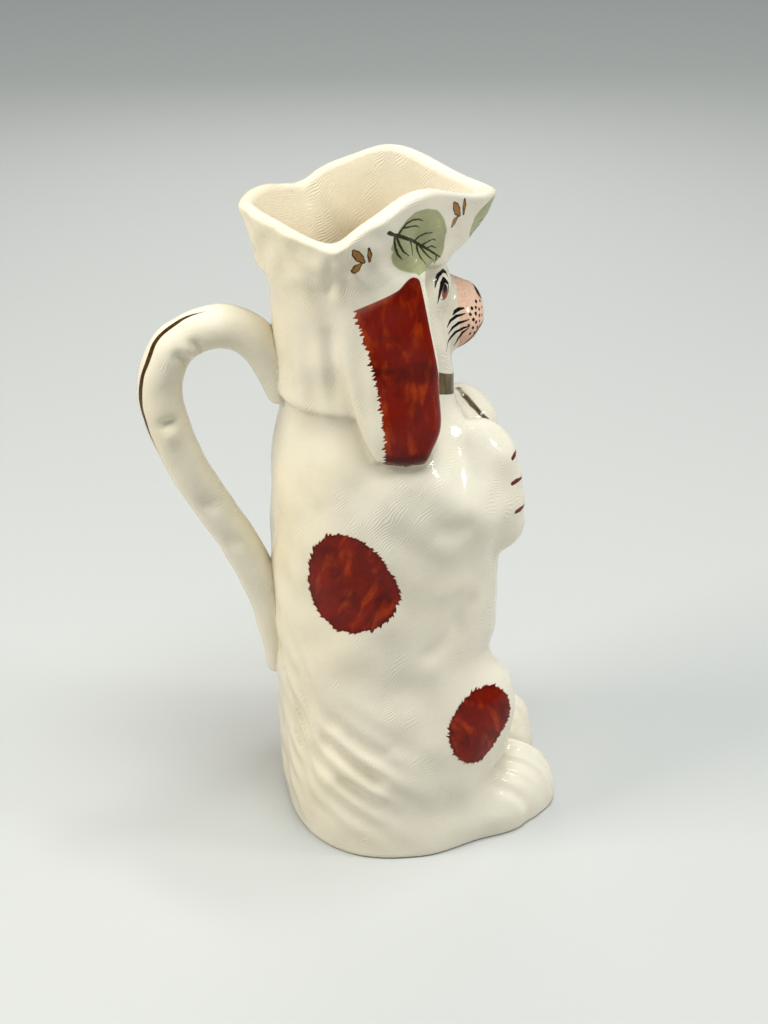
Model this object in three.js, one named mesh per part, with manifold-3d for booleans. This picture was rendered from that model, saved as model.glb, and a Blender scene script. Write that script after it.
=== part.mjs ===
// A begging spaniel jug in glazed earthenware: one slip casting, hollow and open at the hat.
// Millimetres, +Z up. The dog faces -Y, its handle is towards +Y, and it is alike on both sides of X = 0.
// The origin is the middle of the flat underside.
import * as THREE from 'three';
import Module from 'manifold-3d';
import { mergeVertices } from 'three/addons/utils/BufferGeometryUtils.js';

// Driving dimensions
const height = 264.7;          // underside to the highest crest of the hat
const wall = 4.2;              // thickness of the cast wall
const floorThickness = 6;      // thickness of the closed bottom
const handleDepth = 16.6;      // handle, from its inner side to its spine
const handleWidth = 16.8;      // handle, from side to side
const baseRound = 1.6;         // rounding of the edge that stands on the table

// How finely the form is divided
const columns = 72;            // vertical lines round the outer and inner face
const outerRows = 44;          // rings from the base to the lip
const innerRows = 14;          // rings from the lip down to the floor
const lipRows = 2;             // rings that round the lip over
const frontCrowding = 0.36;    // how much closer the vertical lines stand on the dog's face
const handleRings = 22;
const handleSides = 10;
const levelPasses = 12;        // times the heights of the rings are evened out round the form
const loosenPasses = 7;        // times the net is smoothed freely, before it is laid on the form
const settlePasses = 12;       // times the net is evened out over the form

// The figure's proportions are written on a grid of 264.7 parts to its height.
const gridHeight = 264.7;
const unit = height / gridHeight;

// Cross-sections of the trunk, neck, head and hat, from the base up: height, reach to the front,
// reach to the back, half width, where the section is widest, squareness in front and behind.
const sections = [
  { z: 0, front: 41, back: 46.5, half: 53.4, mid: 3, squareFront: 1.9, squareBack: 2.35 },
  { z: 25, front: 40, back: 48.3, half: 51.6, mid: 4, squareFront: 2.2, squareBack: 2.35 },
  { z: 60, front: 32.6, back: 49.8, half: 47.8, mid: 5, squareFront: 2.2, squareBack: 2.1 },
  { z: 84, front: 37.8, back: 50.1, half: 46.4, mid: 5.6, squareFront: 2.2, squareBack: 2.1 },
  { z: 104, front: 38.7, back: 50.2, half: 45.3, mid: 6, squareFront: 2.2, squareBack: 2.1 },
  { z: 135, front: 37.4, back: 50.2, half: 43.5, mid: 7, squareFront: 2.2, squareBack: 2.1 },
  { z: 158, front: 31, back: 48.4, half: 39.5, mid: 8, squareFront: 2.1, squareBack: 2.1 },
  { z: 174, front: 20.5, back: 45.0, half: 33.0, mid: 10, squareFront: 2.1, squareBack: 2.1 },
  { z: 188, front: 19.0, back: 43.6, half: 29.5, mid: 12, squareFront: 2.1, squareBack: 2.2 },
  { z: 204, front: 17.4, back: 44.6, half: 30.0, mid: 13, squareFront: 2.3, squareBack: 2.2 },
  { z: 220, front: 14.0, back: 47.0, half: 31.0, mid: 15, squareFront: 2.3, squareBack: 2.0 },
  { z: 230, front: 12.4, back: 50.0, half: 31.5, mid: 18, squareFront: 1.9, squareBack: 1.8 },
  { z: 240, front: 25.2, back: 53.0, half: 34.5, mid: 22, squareFront: 1.4, squareBack: 1.6 },
  { z: 251, front: 33.4, back: 56.6, half: 39.0, mid: 26, squareFront: 1.2, squareBack: 1.5 },
  { z: 265, front: 38.2, back: 60.0, half: 41.5, mid: 26, squareFront: 1.2, squareBack: 1.5 },
];
const hatSoftness = { from: 226, to: 246, most: 3.2 };   // how far the hat's three corners are rounded

// The hat's crest: its general height, the rise at each side of the spout and the dip at each side corner
const crest = { base: 255.3, rise: 9.4, riseY: -5, riseReach: 18.5, dip: 5.4, dipY: 33, dipFront: 10, dipBack: 13 };

// Rounded masses of the figure, each with its twin on the other side: centre, radii, slope and turn
// in degrees, and the softness of the valley where it meets the rest.
const masses = [
  { at: [30, -4, 44], size: [19.5, 36, 32], slope: -12, turn: 0, soft: 9 },         // haunch
  { at: [26, -20.6, 56.7], size: [16, 20.6, 17.6], slope: -20, turn: 0, soft: 6 },  // knee
  { at: [23, -38.4, 2.6], size: [16.4, 23.8, 25], slope: 0, turn: 16.5, soft: 6 },  // hind foot
  { at: [15, -26, 6], size: [17, 20, 12], slope: 0, turn: 0, soft: 8 },             // clay between the feet
  { at: [15, -23.6, 140.2], size: [16, 18.9, 23], slope: -5.5, turn: 0, soft: 6 },  // forepaw
  { at: [0, -16.5, 207.9], size: [12.1, 14.7, 12.3], slope: 0, turn: 0, soft: 4 },  // muzzle
  { at: [5.5, -17.3, 206.2], size: [8.3, 10.6, 9.7], slope: 0, turn: 0, soft: 2.5 }, // jowl
  { at: [9, -7, 224], size: [13, 9.6, 10], slope: 0, turn: 0, soft: 5 },            // brow
];

// Tapered limbs: from, to, radius at each end, softness
const limbs = [
  { from: [32, -6, 4], to: [30, -30, 6], radii: [17, 15.5], soft: 9 },              // hock
  { from: [30, 2, 152], to: [26.5, -17, 139], radii: [12, 15.2], soft: 10 },        // foreleg
  { from: [16, -28.5, 155.3], to: [16, -33, 130.2], radii: [13.3, 12.9], soft: 5 }, // knuckles
  { from: [0, -8, 216.2], to: [0, -23.7, 214], radii: [9.1, 6.7], soft: 4 },        // bridge of the nose
];

// The ear: a flap with rounded edges. Front and rear edges, and how far out it hangs, by height.
const ear = {
  front: [[160, 3], [168, -4], [178, -8.5], [190, -8.5], [205, -7], [220, -5], [238, -2.5]],
  rear: [[160, 12], [172, 18], [185, 22], [200, 25], [215, 28], [230, 28], [240, 24]],
  out: [[160, 37], [175, 37], [200, 34.5], [225, 31.5], [240, 27.5]],
  thickness: 9, round: 4, rearFade: 0.55, bottom: 166, top: 238.5, topSlope: 0.38, soft: 2.4,
};

// The hair behind the head and the raised side of the hat lie over the head as thin coats.
const hair = { from: 183.5, fadeFrom: 198, fadeTo: 226, rise: 3, startY: 22, soft: 6 };
const hatFlap = { corner: 227, foreTop: 236, rise: 2.6, backY: 34, soft: 3 };

// Slanting folds of the coat on the flank and the creases of the back
const flankFolds = { at: [25, 36], reach: [14, 19], slope: 0.72, spacing: 11.5, depth: 1.3 };
const backFolds = { at: [44, 50], reach: [8, 28], slope: 2.6, spacing: 13, depth: 0.8 };
const toes = { middle: 22, spacing: 6.6, depth: 0.35, startY: -35, topZ: 12, reach: 15 };
const paw = { middle: 144.5, spacing: 11.5, depth: 0.3, startY: -30, reach: 19, halfWidth: 27 };

// The handle's centre line from its rolled upper end to the tip of its lower end: y, z, and its
// depth and width there as shares of the full size.
const handleLine = [
  [45.4, 180.5, 0.60, 0.80], [47.4, 190, 0.84, 0.94], [52, 200, 0.97, 1], [59, 206.3, 1, 1],
  [68, 208.3, 1, 1], [77, 206, 1, 1], [84.5, 200, 1.02, 1], [88.5, 190.5, 1.03, 1.01],
  [88.8, 180, 1.03, 1.01], [86, 167.5, 1, 1], [80.5, 153.5, 0.95, 0.98], [72.5, 137.5, 0.92, 0.96],
  [63.5, 121.5, 0.92, 0.96], [56.5, 106, 0.90, 0.96], [52.3, 91, 0.80, 0.92], [50.2, 76, 0.66, 0.8],
  [49.4, 63, 0.46, 0.6],
];
const handleCut = 1.6;         // how far the handle's ends stop short of the wall's inner face

// A smooth curve through pairs of [place, value], read at one place
function curve(points, place) {
  const last = points.length - 1;
  const t = Math.min(Math.max(place, points[0][0]), points[last][0]);
  let i = 0;
  while (i < last - 1 && points[i + 1][0] <= t) i += 1;
  const slopeAt = (k) => {
    const a = points[Math.max(k - 1, 0)];
    const b = points[Math.min(k + 1, last)];
    return (b[1] - a[1]) / (b[0] - a[0]);
  };
  const [x0, y0] = points[i];
  const [x1, y1] = points[i + 1];
  const h = x1 - x0;
  const s = (t - x0) / h;
  return (1 + 2 * s) * (1 - s) ** 2 * y0 + s * (1 - s) ** 2 * h * slopeAt(i)
    + s * s * (3 - 2 * s) * y1 + s * s * (s - 1) * h * slopeAt(i + 1);
}

const columnOf = (name) => sections.map((section) => [section.z, section[name]]);
const sectionCurves = Object.fromEntries(
  ['front', 'back', 'half', 'mid', 'squareFront', 'squareBack'].map((name) => [name, columnOf(name)]),
);
const middle = (z) => curve(sectionCurves.mid, z);

// Smooth least and greatest of two distances
function blend(a, b, soft) {
  const h = Math.min(Math.max(0.5 + 0.5 * (b - a) / soft, 0), 1);
  return b * (1 - h) + a * h - soft * h * (1 - h);
}
const overlap = (a, b, soft) => -blend(-a, -b, soft);
const bump = (distance, reach) => Math.exp(-((distance / reach) ** 2));
function ramp(from, to, value) {
  const t = THREE.MathUtils.clamp((value - from) / (to - from), 0, 1);
  return t * t * (3 - 2 * t);
}

// Distance from the trunk's rounded-square section, negative inside
function trunkDistance(x, y, z) {
  const mid = middle(z);
  const ahead = y < mid;
  const reach = ahead ? curve(sectionCurves.front, z) + mid : curve(sectionCurves.back, z) - mid;
  const power = curve(ahead ? sectionCurves.squareFront : sectionCurves.squareBack, z);
  const softness = hatSoftness.most * ramp(hatSoftness.from, hatSoftness.to, z);
  const across = Math.hypot(x, softness) / curve(sectionCurves.half, z);
  const along = Math.hypot(y - mid, softness) / reach;
  const q = (across ** power + along ** power + 1e-12) ** (1 / power);
  return Math.hypot(x, y - mid, softness) * (1 - 1 / q);
}

function massDistance(x, y, z, mass) {
  const slope = THREE.MathUtils.degToRad(mass.slope);
  const turn = THREE.MathUtils.degToRad(mass.turn);
  const dx = (x - mass.at[0]) * Math.cos(turn) - (y - mass.at[1]) * Math.sin(turn);
  const ahead = (y - mass.at[1]) * Math.cos(turn) + (x - mass.at[0]) * Math.sin(turn);
  const dy = ahead * Math.cos(slope) + (z - mass.at[2]) * Math.sin(slope);
  const dz = (z - mass.at[2]) * Math.cos(slope) - ahead * Math.sin(slope);
  const [rx, ry, rz] = mass.size;
  const k0 = Math.hypot(dx / rx, dy / ry, dz / rz) + 1e-9;
  const k1 = Math.hypot(dx / rx ** 2, dy / ry ** 2, dz / rz ** 2) + 1e-9;
  return k0 * (k0 - 1) / k1;
}

function limbDistance(x, y, z, limb) {
  const run = limb.to.map((value, i) => value - limb.from[i]);
  const offset = [x - limb.from[0], y - limb.from[1], z - limb.from[2]];
  const dot = (a, b) => a[0] * b[0] + a[1] * b[1] + a[2] * b[2];
  const t = Math.min(Math.max(dot(offset, run) / dot(run, run), 0), 1);
  const gap = offset.map((value, i) => value - t * run[i]);
  return Math.hypot(...gap) - (limb.radii[0] + (limb.radii[1] - limb.radii[0]) * t);
}

function earDistance(x, y, z) {
  const top = ear.top - ear.topSlope * Math.max(y - 2, 0);
  const bottom = ear.bottom + 0.12 * Math.abs(y - 4);
  const side = Math.max(curve(ear.front, z) - y, ear.rearFade * (y - curve(ear.rear, z)), z - top, bottom - z);
  const face = Math.abs(x - curve(ear.out, z) + 0.007 * (y - 4) ** 2) - ear.thickness / 2;
  const a = side + ear.round;
  const b = face + ear.round;
  return Math.hypot(Math.max(a, 0), Math.max(b, 0)) + Math.min(Math.max(a, b), 0) - ear.round;
}

// The hair behind the head: the head's own section, a little larger, between two heights
function hairDistance(x, y, z, trunk) {
  const rise = hair.rise * (1 - ramp(hair.fadeFrom, hair.fadeTo, z)) - 0.4;
  return overlap(overlap(trunk - rise, hair.from - z, 2), hair.startY - y, 5);
}

// The turned-up side of the hat, with its lower edge rising from the side corner to the spout
function hatFlapDistance(x, y, z, trunk) {
  const edge = THREE.MathUtils.lerp(hatFlap.foreTop, hatFlap.corner, ramp(-2, 24, y))
    - 6 * ramp(-4, -16, y);
  return overlap(overlap(trunk - hatFlap.rise, edge - z, 3), y - hatFlap.backY, 4);
}

// How far the folds of the coat and the toes stand out from the body
function relief(x, y, z) {
  const waves = (fold) => {
    const window = bump(y - fold.at[0], fold.reach[0]) * bump(z - fold.at[1], fold.reach[1]);
    const across = z - fold.at[1] - fold.slope * (y - fold.at[0]);
    return fold.depth * window * Math.cos(2 * Math.PI * across / fold.spacing);
  };
  const side = ramp(14, 24, x);
  const footRidges = toes.depth * ramp(toes.startY + 7, toes.startY - 7, y)
    * bump(z - toes.topZ, toes.reach) * Math.cos(2 * Math.PI * (x - toes.middle) / toes.spacing);
  const pawRidges = paw.depth * ramp(paw.startY, paw.startY - 10, y) * ramp(paw.halfWidth, paw.halfWidth - 10, x)
    * bump(z - paw.middle, paw.reach) * -Math.cos(2 * Math.PI * (z - paw.middle) / paw.spacing);
  return side * (waves(flankFolds) + waves(backFolds)) + footRidges + pawRidges;
}

// Distance from the clay's inner form, and from the finished outside. Both take either side of X = 0.
function coreDistance(x, y, z) {
  let d = trunkDistance(x, y, z);
  for (const mass of masses) d = blend(d, massDistance(x, y, z, mass), mass.soft);
  for (const limb of limbs) d = blend(d, limbDistance(x, y, z, limb), limb.soft);
  return d;
}
function outsideDistance(x, y, z) {
  const trunk = trunkDistance(x, y, z);
  let d = blend(coreDistance(x, y, z), hairDistance(x, y, z, trunk), hair.soft);
  d = blend(d, hatFlapDistance(x, y, z, trunk), hatFlap.soft);
  d = blend(d, earDistance(x, y, z), ear.soft);
  return d - relief(x, y, z);
}

function crestHeight(y) {
  const dipReach = y > crest.dipY ? crest.dipBack : crest.dipFront;
  return crest.base + crest.rise * bump(y - crest.riseY, crest.riseReach)
    - crest.dip * bump(y - crest.dipY, dipReach);
}

// Where a level ray from the section's middle line, at one bearing, leaves the outside
function outerReach(bearing, z) {
  const mid = middle(z);
  const sin = Math.sin(bearing);
  const cos = Math.cos(bearing);
  let reach = 95;
  for (let step = 0; step < 80; step += 1) {
    const d = outsideDistance(Math.abs(reach * sin), mid - reach * cos, z);
    reach -= 0.6 * d;
    if (Math.abs(d) < 0.01) break;
  }
  return reach;
}

// Where the same ray meets the inner face of the wall
function innerReach(bearing, z) {
  const mid = middle(z);
  const sin = Math.sin(bearing);
  const cos = Math.cos(bearing);
  const depth = wall / unit;
  let reach = 4;
  for (let step = 0; step < 80; step += 1) {
    const d = coreDistance(Math.abs(reach * sin), mid - reach * cos, z) + depth;
    if (d > -0.02) break;
    reach -= 0.5 * d;
  }
  return reach;
}

const bearings = Array.from({ length: columns }, (_, i) => {
  const turn = 2 * Math.PI * i / columns;
  return turn - frontCrowding * Math.sin(turn);
});

// Evens a net out over a form: each point moves towards the middle of its four neighbours, at first
// freely, then along the surface only and back onto it. The first and last rows stay as they are.
function settle(rings, distance) {
  const around = rings[0].length;
  const step = 0.25;
  const at = (p) => distance(Math.abs(p.x), p.y, p.z);
  const normalAt = (p) => {
    const shifted = (axis, by) => at(p.clone().setComponent(axis, p.getComponent(axis) + by));
    return new THREE.Vector3(...[0, 1, 2].map((axis) => shifted(axis, step) - shifted(axis, -step))).normalize();
  };
  let net = rings.map((ring) => ring.map((point) => new THREE.Vector3(...point)));
  for (let pass = 0; pass < loosenPasses + settlePasses; pass += 1) {
    const free = pass < loosenPasses;
    net = net.map((ring, row) => (row === 0 || row === net.length - 1 ? ring : ring.map((point, i) => {
      const neighbours = [net[row - 1][i], net[row + 1][i], ring[(i + 1) % around], ring[(i + around - 1) % around]];
      const pull = neighbours.reduce((sum, p) => sum.add(p), new THREE.Vector3()).multiplyScalar(0.25).sub(point);
      if (free) return point.clone().addScaledVector(pull, 0.6);
      const normal = normalAt(point);
      const moved = point.clone().addScaledVector(pull.addScaledVector(normal, -pull.dot(normal)), 0.6);
      return moved.addScaledVector(normal, -THREE.MathUtils.clamp(at(moved), -2, 2));
    })));
  }
  return net.map((ring) => ring.map((point) => point.toArray()));
}

const pointAt = (bearing, reach, z) => [reach * Math.sin(bearing), middle(z) - reach * Math.cos(bearing), z];

// The height of the crest on one bearing, found by going from the reach to the crest and back
function crestOn(bearing) {
  let z = crest.base;
  for (let pass = 0; pass < 12; pass += 1) {
    const y = middle(z) - outerReach(bearing, z) * Math.cos(bearing);
    z = 0.5 * (z + crestHeight(y));
  }
  return z;
}

// Points evenly spread along a profile of [reach, z]
function spread(profile, count) {
  const lengths = [0];
  for (let i = 1; i < profile.length; i += 1) {
    const step = Math.hypot(profile[i][0] - profile[i - 1][0], profile[i][1] - profile[i - 1][1]);
    lengths.push(lengths[i - 1] + step);
  }
  const total = lengths[lengths.length - 1];
  const result = [];
  let i = 1;
  for (let k = 0; k < count; k += 1) {
    const s = total * k / (count - 1);
    while (i < profile.length - 1 && lengths[i] < s) i += 1;
    const t = (s - lengths[i - 1]) / (lengths[i] - lengths[i - 1]);
    result.push([0, 1].map((axis) => profile[i - 1][axis] * (1 - t) + profile[i][axis] * t));
  }
  return result;
}

// Rings of points over one face of the casting, between two heights on every bearing
function faceRings(reachOn, from, to, count, distance) {
  const samples = 150;
  const lines = bearings.map((bearing, i) => {
    const profile = Array.from({ length: samples + 1 }, (_, k) => {
      const z = from[i] + (to[i] - from[i]) * k / samples;
      return [reachOn(bearing, z), z];
    });
    return spread(profile, count).map((point) => point[1]);
  });
  const around = lines.length;
  const levels = Array.from({ length: count }, (_, row) => {
    let level = lines.map((line) => line[row]);
    for (let pass = 0; pass < levelPasses; pass += 1) {
      level = level.map((z, i) => (level[(i + around - 1) % around] + 2 * z + level[(i + 1) % around]) / 4);
    }
    return level;
  });
  const rings = Array.from({ length: count }, (_, row) => bearings.map((bearing, i) => {
    const ends = row === 0 || row === count - 1;
    const z = ends ? lines[i][row] : Math.min(levels[row][i], Math.max(from[i], to[i]));
    return pointAt(bearing, reachOn(bearing, z), z);
  }));
  return settle(rings, distance);
}

// The lip: half a round between the tops of the outer and the inner face
function lipRings(outerTop, innerTop) {
  return Array.from({ length: lipRows }, (_, row) => {
    const angle = Math.PI * (row + 1) / (lipRows + 1);
    return outerTop.map((outer, i) => {
      const out = new THREE.Vector3(...outer);
      const inner = new THREE.Vector3(...innerTop[i]);
      const centre = out.clone().add(inner).multiplyScalar(0.5);
      const arm = out.sub(centre);
      const lift = new THREE.Vector3(0, 0, wall / unit / 2 * Math.sin(angle));
      return centre.addScaledVector(arm, Math.cos(angle)).add(lift).toArray();
    });
  });
}

// A closed mesh from rings of points, with a point at each end
function closedRings(rings, start, end) {
  const around = rings[0].length;
  const points = [...rings.flat(), start, end];
  const faces = [];
  const at = (ring, i) => ring * around + (i % around);
  for (let ring = 0; ring < rings.length - 1; ring += 1) {
    for (let i = 0; i < around; i += 1) {
      faces.push([at(ring, i), at(ring, i + 1), at(ring + 1, i + 1)]);
      faces.push([at(ring, i), at(ring + 1, i + 1), at(ring + 1, i)]);
    }
  }
  for (let i = 0; i < around; i += 1) {
    faces.push([points.length - 2, at(0, i + 1), at(0, i)]);
    faces.push([points.length - 1, at(rings.length - 1, i), at(rings.length - 1, i + 1)]);
  }
  const geometry = new THREE.BufferGeometry();
  geometry.setAttribute('position', new THREE.Float32BufferAttribute(points.flat(), 3));
  geometry.setIndex(faces.flat());
  return geometry;
}

const scaled = (point) => point.map((value) => value * unit);

// The casting: up the outside, over the lip and down the inside to the floor
function castingGeometry() {
  const round = baseRound / unit;
  const lip = wall / unit / 2;
  const bottom = floorThickness / unit;
  const tops = bearings.map((bearing) => crestOn(bearing) - lip);
  const level = (z) => bearings.map(() => z);
  const inward = (ring, by, z) => ring.map(([x, y], i) => [
    x - by * Math.sin(bearings[i]), y + by * Math.cos(bearings[i]), z,
  ]);
  const outside = faceRings(outerReach, level(round), tops, outerRows, outsideDistance);
  const inside = faceRings(
    innerReach, tops, level(bottom + 2 * round), innerRows, (x, y, z) => coreDistance(x, y, z) + wall / unit,
  );
  const foot = inward(outside[0], round, 0);
  const well = inward(inside[innerRows - 1], 2 * round, bottom);
  const lipOver = lipRings(outside[outerRows - 1], inside[0]);
  const rings = [foot, ...outside, ...lipOver, ...inside, well].map((ring) => ring.map(scaled));
  return closedRings(rings, scaled([0, middle(0), 0]), scaled([0, middle(bottom), bottom]));
}

// The space inside the wall, grown a little, that the handle's ends are trimmed by
function trimGeometry() {
  const grow = handleCut / unit;
  const top = crest.base - 20;
  const rows = 24;
  const rings = Array.from({ length: rows }, (_, row) => {
    const z = 30 + (top - 30) * row / (rows - 1);
    return bearings.map((bearing) => scaled(pointAt(bearing, innerReach(bearing, z) + grow, z)));
  });
  return closedRings(rings, scaled([0, middle(30), 30]), scaled([0, middle(top), top]));
}

// The handle: an oval carried along its centre line, flatter on its inner side
function handleGeometry() {
  const read = (index, t) => curve(handleLine.map((row, i) => [i, row[index]]), t);
  const last = handleLine.length - 1;
  const centre = (t) => new THREE.Vector2(read(0, t), read(1, t));
  const rings = Array.from({ length: handleRings }, (_, ring) => {
    const t = last * ring / (handleRings - 1);
    const here = centre(t);
    const along = centre(Math.min(t + 0.05, last)).sub(centre(Math.max(t - 0.05, 0))).normalize();
    const halfDepth = handleDepth / 2 * read(2, t);
    const halfWidth = handleWidth / 2 * read(3, t);
    return Array.from({ length: handleSides }, (__, side) => {
      const angle = 2 * Math.PI * side / handleSides;
      const out = halfDepth * Math.cos(angle) * (Math.cos(angle) > 0 ? 1 : 0.94);
      const y = here.x * unit - along.y * out;
      const z = here.y * unit + along.x * out;
      return [halfWidth * Math.sin(angle), y, z];
    });
  });
  const cap = (t, shift) => {
    const here = centre(t);
    const along = centre(Math.min(t + 0.05, last)).sub(centre(Math.max(t - 0.05, 0))).normalize();
    return [0, here.x * unit + along.x * shift, here.y * unit + along.y * shift];
  };
  return closedRings(rings, cap(0, -handleDepth / 6), cap(last, handleDepth / 6));
}

const wasm = await Module();
wasm.setup();

function toSolid(geometry) {
  const merged = mergeVertices(geometry, 1e-5);
  return new wasm.Manifold(new wasm.Mesh({
    numProp: 3,
    vertProperties: new Float32Array(merged.attributes.position.array),
    triVerts: new Uint32Array(merged.index.array),
  }));
}

function toGeometry(solid) {
  const mesh = solid.getMesh();
  const geometry = new THREE.BufferGeometry();
  geometry.setAttribute('position', new THREE.BufferAttribute(new Float32Array(mesh.vertProperties), 3));
  geometry.setIndex(new THREE.BufferAttribute(new Uint32Array(mesh.triVerts), 1));
  geometry.computeVertexNormals();
  return geometry;
}

function makePitcher() {
  const handle = toSolid(handleGeometry()).subtract(toSolid(trimGeometry()));
  const glaze = new THREE.MeshStandardMaterial({ color: 0xf3ecdc, roughness: 0.18, metalness: 0 });
  const mesh = new THREE.Mesh(toGeometry(toSolid(castingGeometry()).add(handle)), glaze);
  mesh.name = 'pitcher';
  return mesh;
}

const dogPitcher = new THREE.Group();
dogPitcher.add(makePitcher());
export default dogPitcher;
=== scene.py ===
"""A begging spaniel jug in glazed, hand-painted earthenware, dressed for its portrait.

The casting is worked out as a form in space: a signed distance, in millimetres, of the trunk, the
limbs, the ears and the hat. A net of points is laid on it, refined, pressed with folds and dents,
joined to the handle and painted by brush strokes that are distances in flat coordinates.
Lengths are millimetres in this file; MM turns them into Blender's metres.
"""
from __future__ import annotations

import logging
from dataclasses import dataclass, field
from enum import Enum
from typing import Callable, Sequence

import bpy
import numpy as np
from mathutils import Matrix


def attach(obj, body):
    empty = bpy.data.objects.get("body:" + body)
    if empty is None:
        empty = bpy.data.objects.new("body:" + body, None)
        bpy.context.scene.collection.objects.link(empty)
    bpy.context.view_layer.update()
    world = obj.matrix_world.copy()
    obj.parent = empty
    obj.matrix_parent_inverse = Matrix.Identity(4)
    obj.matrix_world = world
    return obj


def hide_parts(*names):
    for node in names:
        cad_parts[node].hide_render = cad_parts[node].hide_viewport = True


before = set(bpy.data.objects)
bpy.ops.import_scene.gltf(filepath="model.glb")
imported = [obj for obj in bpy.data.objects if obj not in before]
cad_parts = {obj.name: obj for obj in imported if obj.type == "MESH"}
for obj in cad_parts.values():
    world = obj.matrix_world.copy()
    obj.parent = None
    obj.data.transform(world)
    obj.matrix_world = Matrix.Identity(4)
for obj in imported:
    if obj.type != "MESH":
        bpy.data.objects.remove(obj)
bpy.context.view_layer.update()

log = logging.getLogger("dog_jug")

MM = 0.001
GLAZE_IOR = 1.5
NODE = "pitcher"
BODY = "root"

Array = np.ndarray
Point = tuple[float, float, float]
Colour = tuple[float, float, float]
Field = Callable[[Array], Array]
Reach = Callable[[Array, Array], Array]
Socket = bpy.types.NodeSocket


def curve(points: Sequence[Sequence[float]], place: Array) -> Array:
    """Read a smooth curve through (place, value) pairs: a cubic between neighbours, with the
    slope at each pair that of the line between the pairs beside it.

    Args:
        points: the pairs, in rising order of place.
        place: where the curve is read.

    Returns:
        The value at each place, held level past the ends.
    """
    knots, values = np.array([pair[:2] for pair in points], float).T
    before, after = np.r_[0, 0:len(knots) - 1], np.r_[1:len(knots), len(knots) - 1]
    slopes = (values[after] - values[before]) / (knots[after] - knots[before])
    place = np.clip(place, knots[0], knots[-1])
    i = np.clip(np.searchsorted(knots, place, side="right") - 1, 0, len(knots) - 2)
    h = knots[i + 1] - knots[i]
    s = (place - knots[i]) / h
    start = (1 + 2 * s) * (1 - s) ** 2 * values[i] + s * (1 - s) ** 2 * h * slopes[i]
    return start + s * s * (3 - 2 * s) * values[i + 1] + s * s * (s - 1) * h * slopes[i + 1]


def blend(a: Array, b: Array, soft: float) -> Array:
    """The lesser of two distances, with the valley between them filled over a width of soft."""
    h = np.clip(0.5 + 0.5 * (b - a) / soft, 0, 1)
    return b * (1 - h) + a * h - soft * h * (1 - h)


def overlap(a: Array, b: Array, soft: float) -> Array:
    """The greater of two distances, with the ridge between them rounded over a width of soft."""
    return -blend(-a, -b, soft)


def bump(distance: Array, reach: float) -> Array:
    """A bell that is 1 at no distance and falls away over a reach."""
    return np.exp(-((distance / reach) ** 2))


def ramp(start: float, end: float, value: Array) -> Array:
    """A smooth step from 0 at start to 1 at end."""
    t = np.clip((value - start) / (end - start), 0, 1)
    return t * t * (3 - 2 * t)


def crests(distance: Array, spacing: float) -> Array:
    """A wave that is 1 at each whole spacing and -1 half way between."""
    return np.cos(2 * np.pi * distance / spacing)


def fold(p: Array, side: float = 1) -> Array:
    """Points brought over to one side of the middle: 1 for the dog's left, -1 for its right."""
    return np.concatenate([side * np.abs(p[..., :1]), p[..., 1:]], -1)


def unit(vector: Sequence[float]) -> Array:
    """The vector at a length of 1."""
    return np.array(vector, float) / np.linalg.norm(vector)


def segment_distance(points: Array, start: Point, end: Point) -> tuple[Array, Array]:
    """How far points are from a straight stretch.

    Args:
        points: rows of x, y, z.
        start: one end of the stretch.
        end: its other end.

    Returns:
        The distance, and the share of the way along the stretch.
    """
    run = np.subtract(end, start)
    offset = points - np.array(start, float)
    share = np.clip(offset @ run / (run @ run), 0, 1)
    return np.linalg.norm(offset - share[..., None] * run, axis=-1), share


@dataclass(frozen=True)
class Mass:
    """A rounded mass of the figure: centre, radii, slope and turn in degrees, and how softly its
    valley is filled."""

    at: Point
    size: Point
    slope: float
    turn: float
    soft: float

    def distance(self, p: Array) -> Array:
        """An ellipsoid's distance: how far outside it a point is, over how fast that grows."""
        x, y, z = np.moveaxis(p - np.array(self.at), -1, 0)
        slope, turn = np.radians([self.slope, self.turn])
        across = x * np.cos(turn) - y * np.sin(turn)
        ahead = y * np.cos(turn) + x * np.sin(turn)
        turned = np.stack([
            across,
            ahead * np.cos(slope) + z * np.sin(slope),
            z * np.cos(slope) - ahead * np.sin(slope),
        ], -1)
        size = np.array(self.size)
        outside = np.linalg.norm(turned / size, axis=-1) + 1e-9
        growth = np.linalg.norm(turned / size ** 2, axis=-1) + 1e-9
        return outside * (outside - 1) / growth


@dataclass(frozen=True)
class Limb:
    """A tapered limb between two points, with its radius at each."""

    start: Point
    end: Point
    radii: tuple[float, float]
    soft: float

    def distance(self, p: Array) -> Array:
        """The distance from the limb's bone, less its radius there."""
        gap, share = segment_distance(p, self.start, self.end)
        return gap - self.radii[0] - (self.radii[1] - self.radii[0]) * share


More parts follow.
